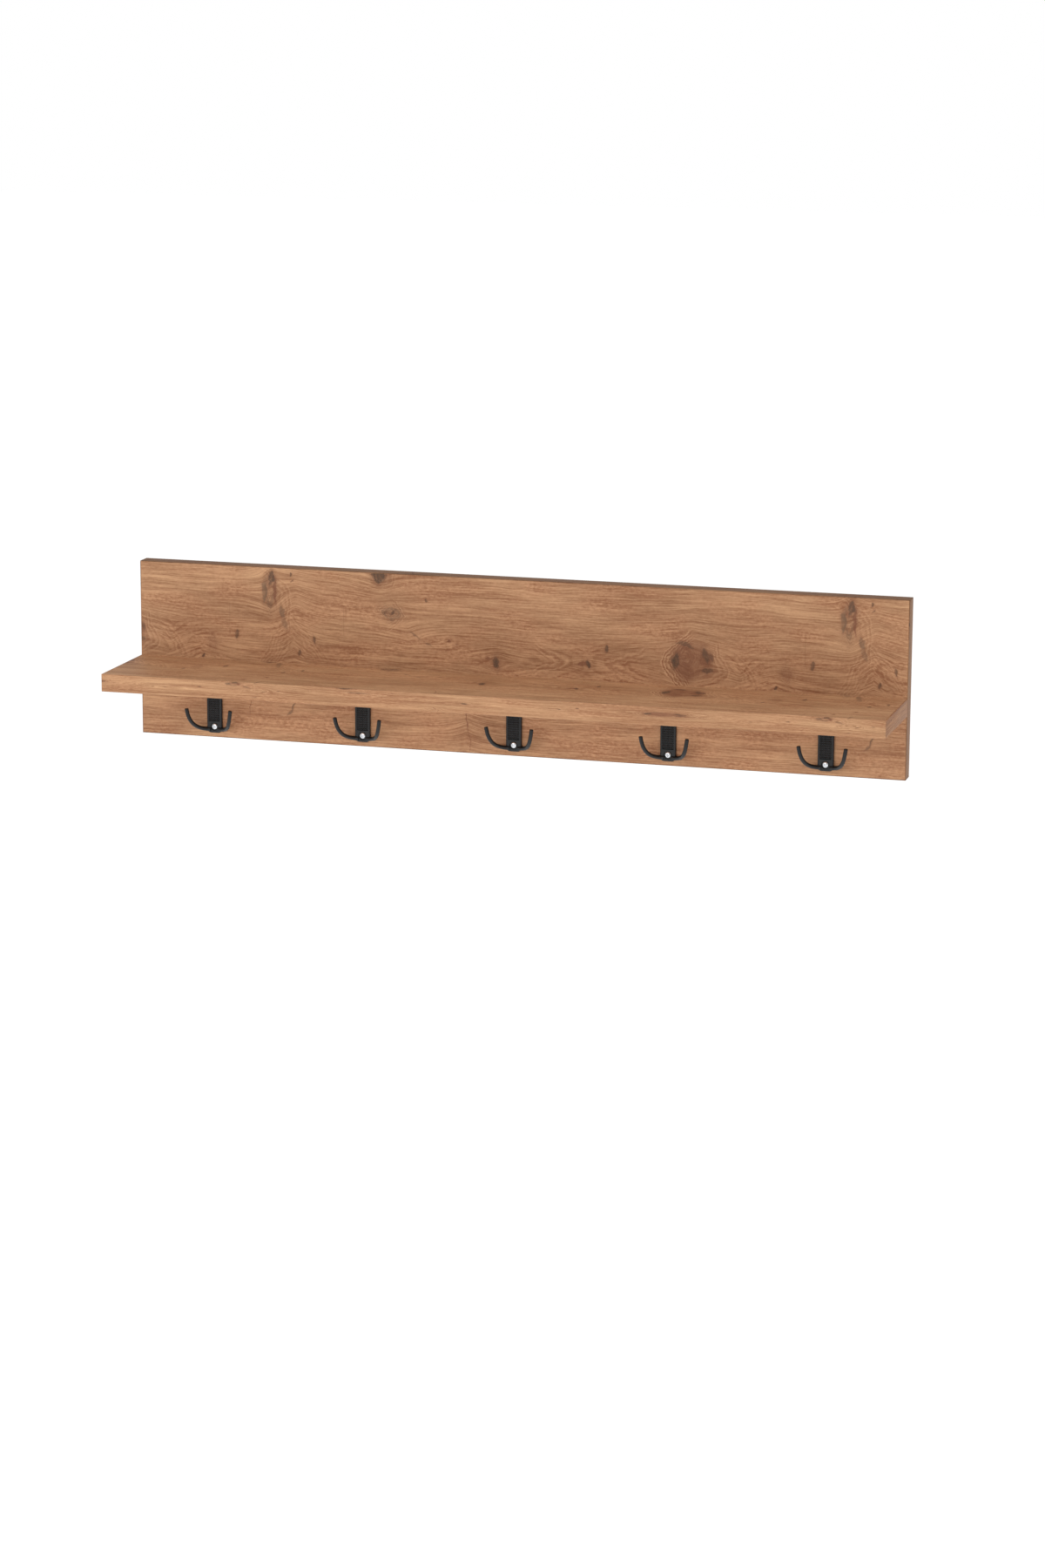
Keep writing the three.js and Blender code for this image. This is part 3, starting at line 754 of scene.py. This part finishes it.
def casting_material():
    """Satin black powder coat: fine pebbling, a little uneven gloss and rubbed edges."""
    material, net, shader = new_material("hook_black")
    place = object_vector(net)
    texture = net.group(FINE_TEXTURE, Place=place, Grain_Size=0.45 * MM)
    worn = net.group(EDGE_WEAR, Place=place, Amount=0.55)["Mask"]
    mottle = texture["Mottle"]
    color = net.mix(mottle, rgba(9, 9, 10), rgba(20, 21, 23))
    color = net.mix(worn, color, rgba(64, 62, 60))
    normal = net.bump(texture["Height"], 0.35, 0.03 * MM)
    finish_shader(net, shader, color, net.ramp(mottle, 0.3, 0.7, 0.40, 0.50), normal)
    shader.inputs["Specular IOR Level"].default_value = 0.35
    return material


def metal_material(name, light, dark, roughness):
    """Plated steel: clouded plating, hairline marks and slightly duller patches."""
    material, net, shader = new_material(name)
    place = object_vector(net)
    cloud = net.noise(place, 900.0, 3.0)
    hairline = net.noise(net.vector("MULTIPLY", place, (400.0, 400.0, 5000.0)), 1.0, 2.0)
    color = net.mix(net.ramp(cloud, 0.35, 0.65), dark, light)
    normal = net.bump(hairline, 0.2, 0.02 * MM)
    duller = net.ramp(cloud, 0.3, 0.7, roughness + 0.08, roughness)
    finish_shader(net, shader, color, duller, normal)
    shader.inputs["Metallic"].default_value = 1.0
    return material


def beech_material():
    """Turned beech: pale, with short darker flecks along the grain."""
    material, net, shader = new_material("beech")
    place = object_vector(net)
    fleck = net.noise(net.vector("MULTIPLY", place, (2600.0, 300.0, 2600.0)), 1.0, 3.0)
    color = net.mix(net.ramp(fleck, 0.35, 0.7), rgba(222, 186, 142), rgba(186, 140, 96))
    normal = net.bump(fleck, 0.3, 0.05 * MM)
    finish_shader(net, shader, color, net.ramp(fleck, 0.3, 0.7, 0.62, 0.74), normal)
    return material


# ---------------------------------------------------------------- surfaces on a grid

MERGE_DISTANCE = 0.002 * MM


def ring_faces(rows, columns):
    """Quads between each ring of points and the next, each ring closing on itself."""
    row = np.arange(rows - 1)[:, None] * columns
    column = np.arange(columns)[None, :]
    following = (column + 1) % columns
    next_row = row + columns
    return np.stack([row + column, row + following, next_row + following, next_row + column], -1)


def body(name, grids):
    """One mesh from closed grids of rings. A ring shrunk to a point or a line closes its end."""
    points, faces, start = [], [], 0
    for grid in grids:
        points.append(grid.reshape(-1, 3))
        faces.append(ring_faces(*grid.shape[:2]).reshape(-1, 4) + start)
        start += len(points[-1])
    mesh = bpy.data.meshes.new(name)
    mesh.from_pydata(np.concatenate(points).tolist(), [], np.concatenate(faces).tolist())
    return tidied(mesh)


def tidied(mesh):
    """Doubles merged, slivers taken out and faces turned outwards."""
    work = bmesh.new()
    work.from_mesh(mesh)
    bmesh.ops.remove_doubles(work, verts=work.verts, dist=MERGE_DISTANCE)
    bmesh.ops.dissolve_degenerate(work, edges=work.edges, dist=MERGE_DISTANCE)
    bmesh.ops.recalc_face_normals(work, faces=work.faces)
    work.to_mesh(mesh)
    work.free()
    return mesh


def smoothed(mesh, angle=32):
    """Smooth shading that stays sharp across edges turning by more than the angle."""
    mesh.polygons.foreach_set("use_smooth", np.ones(len(mesh.polygons), bool))
    mesh.set_sharp_from_angle(angle=math.radians(angle))
    return mesh


def combined(first, second, operation):
    """The first mesh joined with, or cut by, the second."""
    pieces = [bpy.data.objects.new("work", mesh) for mesh in (first, second)]
    for piece in pieces:
        bpy.context.scene.collection.objects.link(piece)
    modifier = pieces[0].modifiers.new("work", "BOOLEAN")
    modifier.operation = operation
    modifier.solver = "EXACT"
    modifier.object = pieces[1]
    graph = bpy.context.evaluated_depsgraph_get()
    result = bpy.data.meshes.new_from_object(pieces[0].evaluated_get(graph))
    for piece in pieces:
        bpy.data.objects.remove(piece)
    return result


def oriented(grid, origin, along_u, along_v, along_w):
    """A grid drawn in (u, v, w) millimetres, laid along three directions from an origin in metres."""
    axes = np.array([along_u, along_v, along_w], float)
    return np.array(origin) + grid @ axes * MM


def rounded_slab(width, height, corner, profile, per_corner=6):
    """A slab: a rectangle with round corners is drawn at each step (inset, level) of the profile.

    Each ring is the rectangle's outline moved inwards by the inset: four quarter circles whose radius is
    the corner's less the inset, joined by straight sides. The ends are closed at the middle.
    """
    inset, level = np.array(profile, float).T[:, :, None]
    quarter = np.linspace(0, np.pi / 2, per_corner)
    angle = (np.arange(4)[:, None] * np.pi / 2 + quarter).ravel()[None, :]
    side_u = np.repeat([1, -1, -1, 1], per_corner)[None, :]
    side_v = np.repeat([1, 1, -1, -1], per_corner)[None, :]
    radius = np.maximum(corner - inset, 0)
    u = side_u * (width / 2 - inset - radius) + radius * np.cos(angle)
    v = side_v * (height / 2 - inset - radius) + radius * np.sin(angle)
    rings = np.stack([u, v, np.broadcast_to(level, u.shape)], -1)
    first, last = np.zeros_like(rings[:1]), np.zeros_like(rings[:1])
    first[..., 2], last[..., 2] = level[0], level[-1]
    return np.concatenate([first, rings, last])


def arris(radius, top, steps=5):
    """Profile steps of a quarter circle from the side face over to the top face."""
    turn = np.linspace(0, np.pi / 2, steps)
    return list(zip(radius * (1 - np.cos(turn)), top - radius * (1 - np.sin(turn))))


def turned(radius, level, columns=64):
    """Rings about the w axis: each row has its radius and level, which may change around the ring."""
    angle = np.linspace(0, 2 * np.pi, columns, endpoint=False)[None, :]
    radius, level = (np.broadcast_to(value, (len(value), columns)) for value in (radius, level))
    return np.stack([radius * np.cos(angle), radius * np.sin(angle), level], -1)


def soft_step(value):
    """0 below 0 and 1 above 1, with a smooth turn between."""
    value = np.clip(value, 0, 1)
    return value * value * (3 - 2 * value)


# ---------------------------------------------------------------- edge bands

BAND_CORNER, BAND_ARRIS, BAND_GROOVE = 0.3, 0.55, 0.06


def edge_band(node, outward, material):
    """A thin strip whose outer arrises are rounded and whose inner edge leaves a hairline at the board."""
    low, high = (np.array(corner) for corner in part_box(node))
    size = (high - low) / MM
    normal = np.array(outward, float)
    axis = int(np.argmax(np.abs(normal)))
    across, along = [np.eye(3)[other] for other in range(3) if other != axis]
    base = (low + high) / 2 - normal * size[axis] / 2 * MM
    thickness = size[axis]
    profile = [(BAND_GROOVE, 0), (0, BAND_GROOVE), *arris(BAND_ARRIS, thickness)]
    grid = rounded_slab(size @ across, size @ along, BAND_CORNER, profile)
    mesh = smoothed(body(node, [oriented(grid, base, across, along, normal)]))
    return finished(node, mesh, material)


def finished(node, mesh, material):
    """Puts a piece in the scene in place of its node in the frame."""
    mesh.materials.clear()
    mesh.materials.append(material)
    piece = bpy.data.objects.new(node + "_fine", mesh)
    bpy.context.scene.collection.objects.link(piece)
    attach(piece, BODY)
    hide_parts(node)
    return piece


def edge_bands():
    """Seven bands: four round the back board and three round the shelf."""
    # The last colour of each band is painted shade for the way it faces the lights: the level bands
    # darkest, the upright ones less, the shelf ends darker and browner, the front band almost untouched.
    level = band_material("level_band_decor", level_band_place, (0.50, 0.47, 0.44))
    upright = band_material("upright_band_decor", upright_band_place, (0.66, 0.62, 0.56))
    front = band_material("front_band_decor", front_band_place, (1.0, 1.0, 0.99), front_band_figure)
    ends = band_material("shelf_end_decor", shelf_end_place, (0.85, 0.71, 0.52))
    edge_band("back_band_top", (0, 0, 1), level)
    edge_band("back_band_bottom", (0, 0, -1), level)
    edge_band("back_band_left", (-1, 0, 0), upright)
    edge_band("back_band_right", (1, 0, 0), upright)
    edge_band("shelf_band_front", (0, -1, 0), front)
    edge_band("shelf_band_left", (-1, 0, 0), ends)
    edge_band("shelf_band_right", (1, 0, 0), ends)


# ---------------------------------------------------------------- hooks, in millimetres

PLATE_WIDTH, PLATE_HEIGHT, PLATE_THICKNESS = 16, 55, 3
PLATE_CORNER, PLATE_ARRIS = 4.2, 0.8
PLATE_HEEL = 0.25
ARM_RADIUS, ARM_TIP_ROUND, ARM_COLUMNS = 2.0, 0.6, 32

# The arm's root is thicker by this share, and the extra fades over this share of its length.
ARM_FLARE, ARM_FLARE_FADE = 0.14, 0.16

# Four points that draw the right arm's curve: sideways, out from the board, up.
ARM_PATH = ((4, 2.4, 3.4), (14.6, 1.2, 3.8), (20.9, 20.0, 6.2), (23.8, 20.5, 27.6))
PANEL_HALF, PANEL_ENDS, PANEL_DEPTH = 6, (12, 41.6), 0.4
KNURL_PITCH, KNURL_DEPTH, KNURL_END, KNURL_FADE = 2.3, 0.55, 35, 4
HOOK_COUNT = 5
SCREW_HEIGHTS = {"lower": 6.6, "upper": 47}
SEAT_RADIUS, SEAT_OUT, SCREW_HOLE = 4.2, 1.8, 1.9


def arm_grid(side):
    """A round bar along a cubic curve: circles of the bar's radius square to the curve.

    The radius grows a little at the root, as exp(-the share of the way along over the fade), and the tip
    is rounded over by a quarter circle.
    """
    start, lead, bend, tip = (np.array((side * x, z, out)) for x, out, z in ARM_PATH)
    t = np.linspace(0, 0.975, 44)[:, None]
    curve = (1 - t) ** 3 * start + 3 * t * (1 - t) ** 2 * lead
    curve = curve + 3 * t ** 2 * (1 - t) * bend + t ** 3 * tip
    heading = (1 - t) ** 2 * (lead - start) + 2 * t * (1 - t) * (bend - lead) + t ** 2 * (tip - bend)
    radius = ARM_RADIUS * (1 + ARM_FLARE * np.exp(-t / ARM_FLARE_FADE))
    turn = np.linspace(0, np.pi / 2, 6)[:, None]
    last = (tip - bend) / np.linalg.norm(tip - bend)
    curve = np.concatenate([curve, tip - last * ARM_TIP_ROUND * (1 - np.sin(turn))])
    heading = np.concatenate([heading, np.repeat(last[None, :], len(turn), 0)])
    radius = np.concatenate([radius, ARM_RADIUS - ARM_TIP_ROUND * (1 - np.cos(turn))])
    heading /= np.linalg.norm(heading, axis=1, keepdims=True)
    guide = np.array((side, 1, -1)) / math.sqrt(3)
    normal = guide - heading * (heading @ guide)[:, None]
    normal /= np.linalg.norm(normal, axis=1, keepdims=True)
    second = np.cross(heading, normal)
    angle = np.linspace(0, 2 * np.pi, ARM_COLUMNS, endpoint=False)[None, :, None]
    around = np.cos(angle) * normal[:, None] + np.sin(angle) * second[:, None]
    rings = curve[:, None] + radius[:, None] * around
    ends = [np.broadcast_to(point, (1, ARM_COLUMNS, 3)) for point in (curve[0], curve[-1])]
    return np.concatenate([ends[0], rings, ends[1]])


def knurl_cutter():
    """What is cut from the plate to leave the knurled panel.

    Its lower face is the panel: pyramids whose height is the lower of two zigzags, one along each side
    of the panel, and which fade to a plain recess near the panel's top. Its upper face is flat and
    clear of the plate.
    """
    u = np.linspace(-PANEL_HALF, PANEL_HALF, 6 * 11 + 1)
    v = np.linspace(*PANEL_ENDS, 6 * 26 + 1)
    grid_v, grid_u = np.meshgrid(v, u, indexing="ij")
    zigzag = [np.abs(((place / KNURL_PITCH) % 1) * 2 - 1) for place in (grid_u, grid_v - PANEL_ENDS[0])]
    pyramid = np.minimum(1, 1.5 * (1 - np.maximum(*zigzag)))
    fade = soft_step((KNURL_END + KNURL_FADE - grid_v) / KNURL_FADE)
    floor = PLATE_THICKNESS - PANEL_DEPTH - KNURL_DEPTH * fade * (1 - pyramid)
    lower = np.stack([grid_u, grid_v, floor], -1)
    upper = np.stack([grid_u, grid_v, np.full_like(floor, PLATE_THICKNESS + 1)], -1)[:, ::-1]
    walls = np.concatenate([lower, upper], 1)
    ends = [np.concatenate([row, row[:, ::-1]], 1) for row in (upper[:1, ::-1], upper[-1:, ::-1])]
    return np.concatenate([ends[0], walls, ends[1]])


def stepped_hole():
    """A through hole with a counterbore whose mouth is slightly broken."""
    below, above, mouth = -1, PLATE_THICKNESS + 3, 0.15
    steps = [(0, below), (SCREW_HOLE, below), (SCREW_HOLE, SEAT_OUT), (SEAT_RADIUS, SEAT_OUT),
             (SEAT_RADIUS, PLATE_THICKNESS - mouth), (SEAT_RADIUS + mouth, PLATE_THICKNESS),
             (SEAT_RADIUS + mouth, above), (0, above)]
    radius, level = np.array(steps, float).T[:, :, None]
    return turned(radius, level)


def casting():
    """The hook drawn with its back on level 0 and its lower end at the origin."""
    profile = [(PLATE_HEEL, 0), (0, PLATE_HEEL), *arris(PLATE_ARRIS, PLATE_THICKNESS)]
    plate = rounded_slab(PLATE_WIDTH, PLATE_HEIGHT, PLATE_CORNER, profile, per_corner=10)
    plate[..., 1] += PLATE_HEIGHT / 2
    arms = body("arms", [arm_grid(side) * MM for side in (-1, 1)])
    solid = combined(body("plate", [plate * MM]), arms, "UNION")
    holes = [stepped_hole() + (0, height, 0) for height in SCREW_HEIGHTS.values()]
    cuts = body("cuts", [grid * MM for grid in (knurl_cutter(), *holes)])
    return tidied(combined(solid, cuts, "DIFFERENCE"))


def placed_copy(mesh, name, points):
    """A copy of a mesh with its vertices at the given places."""
    copy = mesh.copy()
    copy.name = name
    copy.vertices.foreach_set("co", points.astype(np.float32).ravel())
    copy.update()
    return copy


def vertices(mesh):
    """A mesh's points as one array."""
    points = np.empty(3 * len(mesh.vertices), np.float32)
    mesh.vertices.foreach_get("co", points)
    return points.reshape(-1, 3).astype(float)


def hooks(black, zinc):
    """Five castings and ten screws, each screw's cross at an angle of its own.

    In a hook's own frame u is across, v up and w out from the board.
    """
    cast = smoothed(casting())
    cast_points = vertices(cast)
    screw = smoothed(body("hook_screw", [pan_head_screw() * MM]), 40)
    screw_points = vertices(screw)
    axes = np.array([(1, 0, 0), (0, 0, 1), (0, -1, 0)], float)
    for number in range(1, HOOK_COUNT + 1):
        low, high = (np.array(corner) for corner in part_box(f"hook_{number}"))
        origin = np.array([(low[0] + high[0]) / 2, high[1], low[2]])
        place = cast_points @ axes + origin
        copy = placed_copy(cast, f"hook_{number}", place)
        hook = finished(f"hook_{number}", copy, black)
        weighted = hook.modifiers.new("even_faces", "WEIGHTED_NORMAL")
        weighted.keep_sharp = True
        for end, height in SCREW_HEIGHTS.items():
            name = f"hook_screw_{end}_{number}"
            twist = np.array(Matrix.Rotation(0.7 * number + height, 3, "Z"))
            seated = screw_points @ twist.T + np.array((0, height, SEAT_OUT)) * MM
            finished(name, placed_copy(screw, name, seated @ axes + origin), zinc)


# ---------------------------------------------------------------- screws and dowels, in millimetres

SHELF_SCREW_COUNT, DOWEL_COUNT = 4, 3
COUNTERSUNK_TOP = -0.15
DOWEL_HALF, DOWEL_FLUTES = 15, 24


def cross_recess(u, v, reach, half_width, depth):
    """Depth of a cross: two bars with sloping walls, shallower away from the middle."""
    u, v = np.abs(u), np.abs(v)
    end_slope, side_slope = 0.3, 0.24
    bars = [soft_step((reach - along) / end_slope) * soft_step((half_width - aside) / side_slope)
            for along, aside in ((u, v), (v, u))]
    return depth * np.maximum(*bars) * (1 - 0.35 * np.hypot(u, v) / reach)


def threaded(top, length, core, crest, pitch, point, columns=64):
    """A threaded shank from level top down: the radius rises from core to crest along a helix.

    The helix is where the level divided by the pitch, less the turn around the ring, is whole. The
    radius narrows in a straight line over the last stretch, called point.
    """
    depth = np.arange(0, length - point / 8, pitch / 8)
    depth = np.append(depth, length)[:, None]
    angle = np.arange(columns)[None, :] / columns
    phase = np.abs(((depth / pitch - angle) % 1) * 2 - 1)
    started = soft_step(depth / pitch)
    radius = core + (crest - core) * started * np.clip(2 * phase - 1, 0, 1)
    radius = radius * np.clip((length - depth) / point, 0, 1)
    return radius, np.broadcast_to(top - depth, radius.shape)


def headed(head_radius, head_level, recess, shank):
    """Rings of a screw from the middle of its head outwards and down the shank.

    The recess gives how deep the head is sunk at each place of its top.
    """
    columns = shank[0].shape[1]
    angle = np.arange(columns)[None, :] * 2 * np.pi / columns
    radius = np.broadcast_to(np.array(head_radius, float)[:, None], (len(head_radius), columns))
    sunk = recess(radius * np.cos(angle), radius * np.sin(angle))
    level = np.array(head_level, float)[:, None] - sunk
    return turned(np.concatenate([radius, shank[0]]), np.concatenate([level, shank[1]]), columns)


def pan_head_screw():
    """A domed head, radius as a power of the sine and level as a power of the cosine of one angle."""
    head, rise, skirt, neck = 3.1, 1.8, 0.35, 1.7
    turn = np.linspace(0, np.pi / 2, 34)
    radius = np.append(head * np.sin(turn) ** 0.85, [head, head - 0.15, neck])
    level = np.append(skirt + (rise - skirt) * np.cos(turn) ** 0.75, [0.12, 0, 0])
    return headed(radius, level,
                  lambda u, v: cross_recess(u, v, reach=1.65, half_width=0.5, depth=1.25),
                  threaded(top=0, length=15, core=1.3, crest=1.75, pitch=1.3, point=3.5))


def countersunk_screw():
    """A flat head that narrows to the shank in a straight cone."""
    head, top, cone_end = 2.85, COUNTERSUNK_TOP, -1.2
    radius = np.append(np.linspace(0, head - 0.15, 24), [head, head, 1.5])
    level = np.append(np.full(24, top), [top - 0.08, top - 0.2, cone_end])
    return headed(radius, level,
                  lambda u, v: cross_recess(u, v, reach=1.3, half_width=0.42, depth=0.8),
                  threaded(top=cone_end, length=11.8, core=1.15, crest=1.5, pitch=1.2, point=3))


def connecting_screw():
    """A countersunk head with a hexagon socket, a plain collar and a coarse thread.

    Around the socket the rings follow a hexagon: its half width over the cosine of the angle from the
    nearest flat's middle. Its rings further out are circles.
    """
    columns, head, collar, core, length, deep = 96, 5.0, 3.5, 2.1, 50, 2.4
    head_end, collar_end, thread_top = -3, -16.9, -17.4
    angle = np.arange(columns) * 2 * np.pi / columns
    hexagon = 2.0 / np.cos((angle + np.pi / 6) % (np.pi / 3) - np.pi / 6)
    circle = np.ones(columns)
    steps = [(0 * circle, -deep - 0.6), (0.5 * hexagon, -deep - 0.3), (0.97 * hexagon, -deep),
             (hexagon, -0.1), (hexagon + 0.1, 0), (3.2 * circle, 0), ((head - 0.15) * circle, 0),
             (head * circle, -0.15), (collar * circle, head_end), (collar * circle, collar_end),
             ((collar - 0.3) * circle, thread_top + 0.1), (core * circle, thread_top)]
    radius = np.array([ring for ring, _ in steps])
    level = np.array([height for _, height in steps])[:, None] * circle
    thread = threaded(top=thread_top, length=length + thread_top, core=core, crest=2.5, pitch=2.6,
                      point=5, columns=columns)
    return turned(np.concatenate([radius, thread[0]]), np.concatenate([level, thread[1]]), columns)


def fluted_dowel():
    """A peg with 24 grooves: the radius dips by the positive part of a cosine around the ring."""
    columns, radius, chamfer, run_out = 144, 4.0, 1.0, 0.4
    angle = np.arange(columns)[None, :] * 2 * np.pi / columns
    groove = 0.3 * np.maximum(0, np.cos(DOWEL_FLUTES * angle))
    body_end = DOWEL_HALF - chamfer
    steps = [(0, -DOWEL_HALF, 0), (radius - chamfer, -DOWEL_HALF, 0), (radius, -body_end, 0.6),
             (radius, run_out - body_end, 1), (radius, body_end - run_out, 1), (radius, body_end, 0.6),
             (radius - chamfer, DOWEL_HALF, 0), (0, DOWEL_HALF, 0)]
    outer, level, cut = np.array(steps, float).T[:, :, None]
    return turned(outer - cut * groove, level, columns)


def fixings(zinc, beech):
    """Connecting screws, dowels and hanger screws, each drawn with w towards the wall."""
    for number in range(1, SHELF_SCREW_COUNT + 1):
        place_fixing(f"shelf_screw_{number}", connecting_screw(), zinc)
    for number in range(1, DOWEL_COUNT + 1):
        place_fixing(f"shelf_dowel_{number}", fluted_dowel() - (0, 0, DOWEL_HALF), beech)
    for side in ("left", "right"):
        for end in ("top", "bottom"):
            flush = countersunk_screw() - (0, 0, COUNTERSUNK_TOP)
            place_fixing(f"hanger_screw_{side}_{end}", flush, zinc)


def place_fixing(node, grid, material):
    """A turned piece whose head end is at its node's wall side, on the node's own axis."""
    low, high = (np.array(corner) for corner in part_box(node))
    origin = ((low[0] + high[0]) / 2, high[1], (low[2] + high[2]) / 2)
    mesh = smoothed(body(node, [oriented(grid, origin, (1, 0, 0), (0, 0, -1), (0, 1, 0))]), 40)
    finished(node, mesh, material)


# ---------------------------------------------------------------- hanger plates

HANGER_WIDTH, HANGER_HEIGHT, HANGER_THICKNESS, HANGER_CORNER = 18, 50, 1.2, 4
KEYHOLE_TRAVEL, ENTRY_RADIUS, SLOT_RADIUS = 9, 4.5, 2.3
HANGER_SCREW_SPACING, SINK_HOLE, SINK_MOUTH = 38, 1.65, 3.15

# Levels that a cutter reaches past both faces of the plate.
CUT_BELOW, CUT_ABOVE = -3, 1


def keyhole_cutter():
    """The keyhole's outline carried through the plate.

    The outline is the half circle at the slot's end and the larger part of the entry circle, joined by
    the slot's straight sides. Both ends of the cutter are closed at the middle of the entry circle.
    """
    turn = np.linspace(0, np.pi, 40)
    lowest = math.asin(SLOT_RADIUS / ENTRY_RADIUS)
    entry = np.pi / 2 + lowest + np.linspace(0, 2 * np.pi - 2 * lowest, 56)
    u = np.concatenate([SLOT_RADIUS * np.cos(turn), ENTRY_RADIUS * np.cos(entry)])
    v = np.concatenate([KEYHOLE_TRAVEL / 2 + SLOT_RADIUS * np.sin(turn),
                        -KEYHOLE_TRAVEL / 2 + ENTRY_RADIUS * np.sin(entry)])
    outline = np.stack([u, v], -1)
    middle = np.array((0, -KEYHOLE_TRAVEL / 2))
    share = np.array((0, 1, 1, 0.0))[:, None, None]
    ring = middle + share * (outline - middle)
    level = np.array((CUT_BELOW, CUT_BELOW, CUT_ABOVE, CUT_ABOVE), float)[:, None, None]
    return np.concatenate([ring, np.broadcast_to(level, (*ring.shape[:2], 1))], -1)


def hanger_plates(steel):
    """Both keyhole plates. In a plate's own frame u is across, v up and w out of the wall face."""
    profile = [(0.1, -HANGER_THICKNESS), (0, 0.1 - HANGER_THICKNESS), *arris(0.15, 0, 3)]
    plate = body("plate", [rounded_slab(HANGER_WIDTH, HANGER_HEIGHT, HANGER_CORNER, profile, 8) * MM])
    steps = [(0, CUT_BELOW), (SINK_HOLE, CUT_BELOW), (SINK_HOLE, -HANGER_THICKNESS), (SINK_MOUTH, 0),
             (SINK_MOUTH, CUT_ABOVE), (0, CUT_ABOVE)]
    sink = turned(*np.array(steps, float).T[:, :, None])
    sinks = [sink + (0, side * HANGER_SCREW_SPACING / 2, 0) for side in (-1, 1)]
    cuts = body("cuts", [grid * MM for grid in (keyhole_cutter(), *sinks)])
    cut = smoothed(tidied(combined(plate, cuts, "DIFFERENCE")))
    points = vertices(cut)
    axes = np.array([(-1, 0, 0), (0, 0, 1), (0, 1, 0)], float)
    for side in ("left", "right"):
        node = f"hanger_plate_{side}"
        low, high = (np.array(corner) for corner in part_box(node))
        origin = np.array([(low[0] + high[0]) / 2, high[1], (low[2] + high[2]) / 2])
        finished(node, placed_copy(cut, node, points @ axes + origin), steel)


# ---------------------------------------------------------------- everything

def boards():
    """Both boards keep their shape from the frame and get the decor."""
    faces = {
        "back_board": board_material("back_board_decor", back_board_place, BACK_BOARD_FRONT),
        "shelf_board": board_material("shelf_board_decor", shelf_board_place, SHELF_BOARD_LOW),
    }
    for name, material in faces.items():
        for material_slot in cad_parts[name].material_slots:
            material_slot.material = material


camera()
studio()
boards()
edge_bands()
zinc_plating = metal_material("zinc_plating", rgba(226, 228, 230), rgba(196, 199, 203), 0.26)
hooks(casting_material(), zinc_plating)
fixings(zinc_plating, beech_material())
hanger_plates(metal_material("hanger_steel", rgba(186, 188, 190), rgba(150, 152, 155), 0.34))
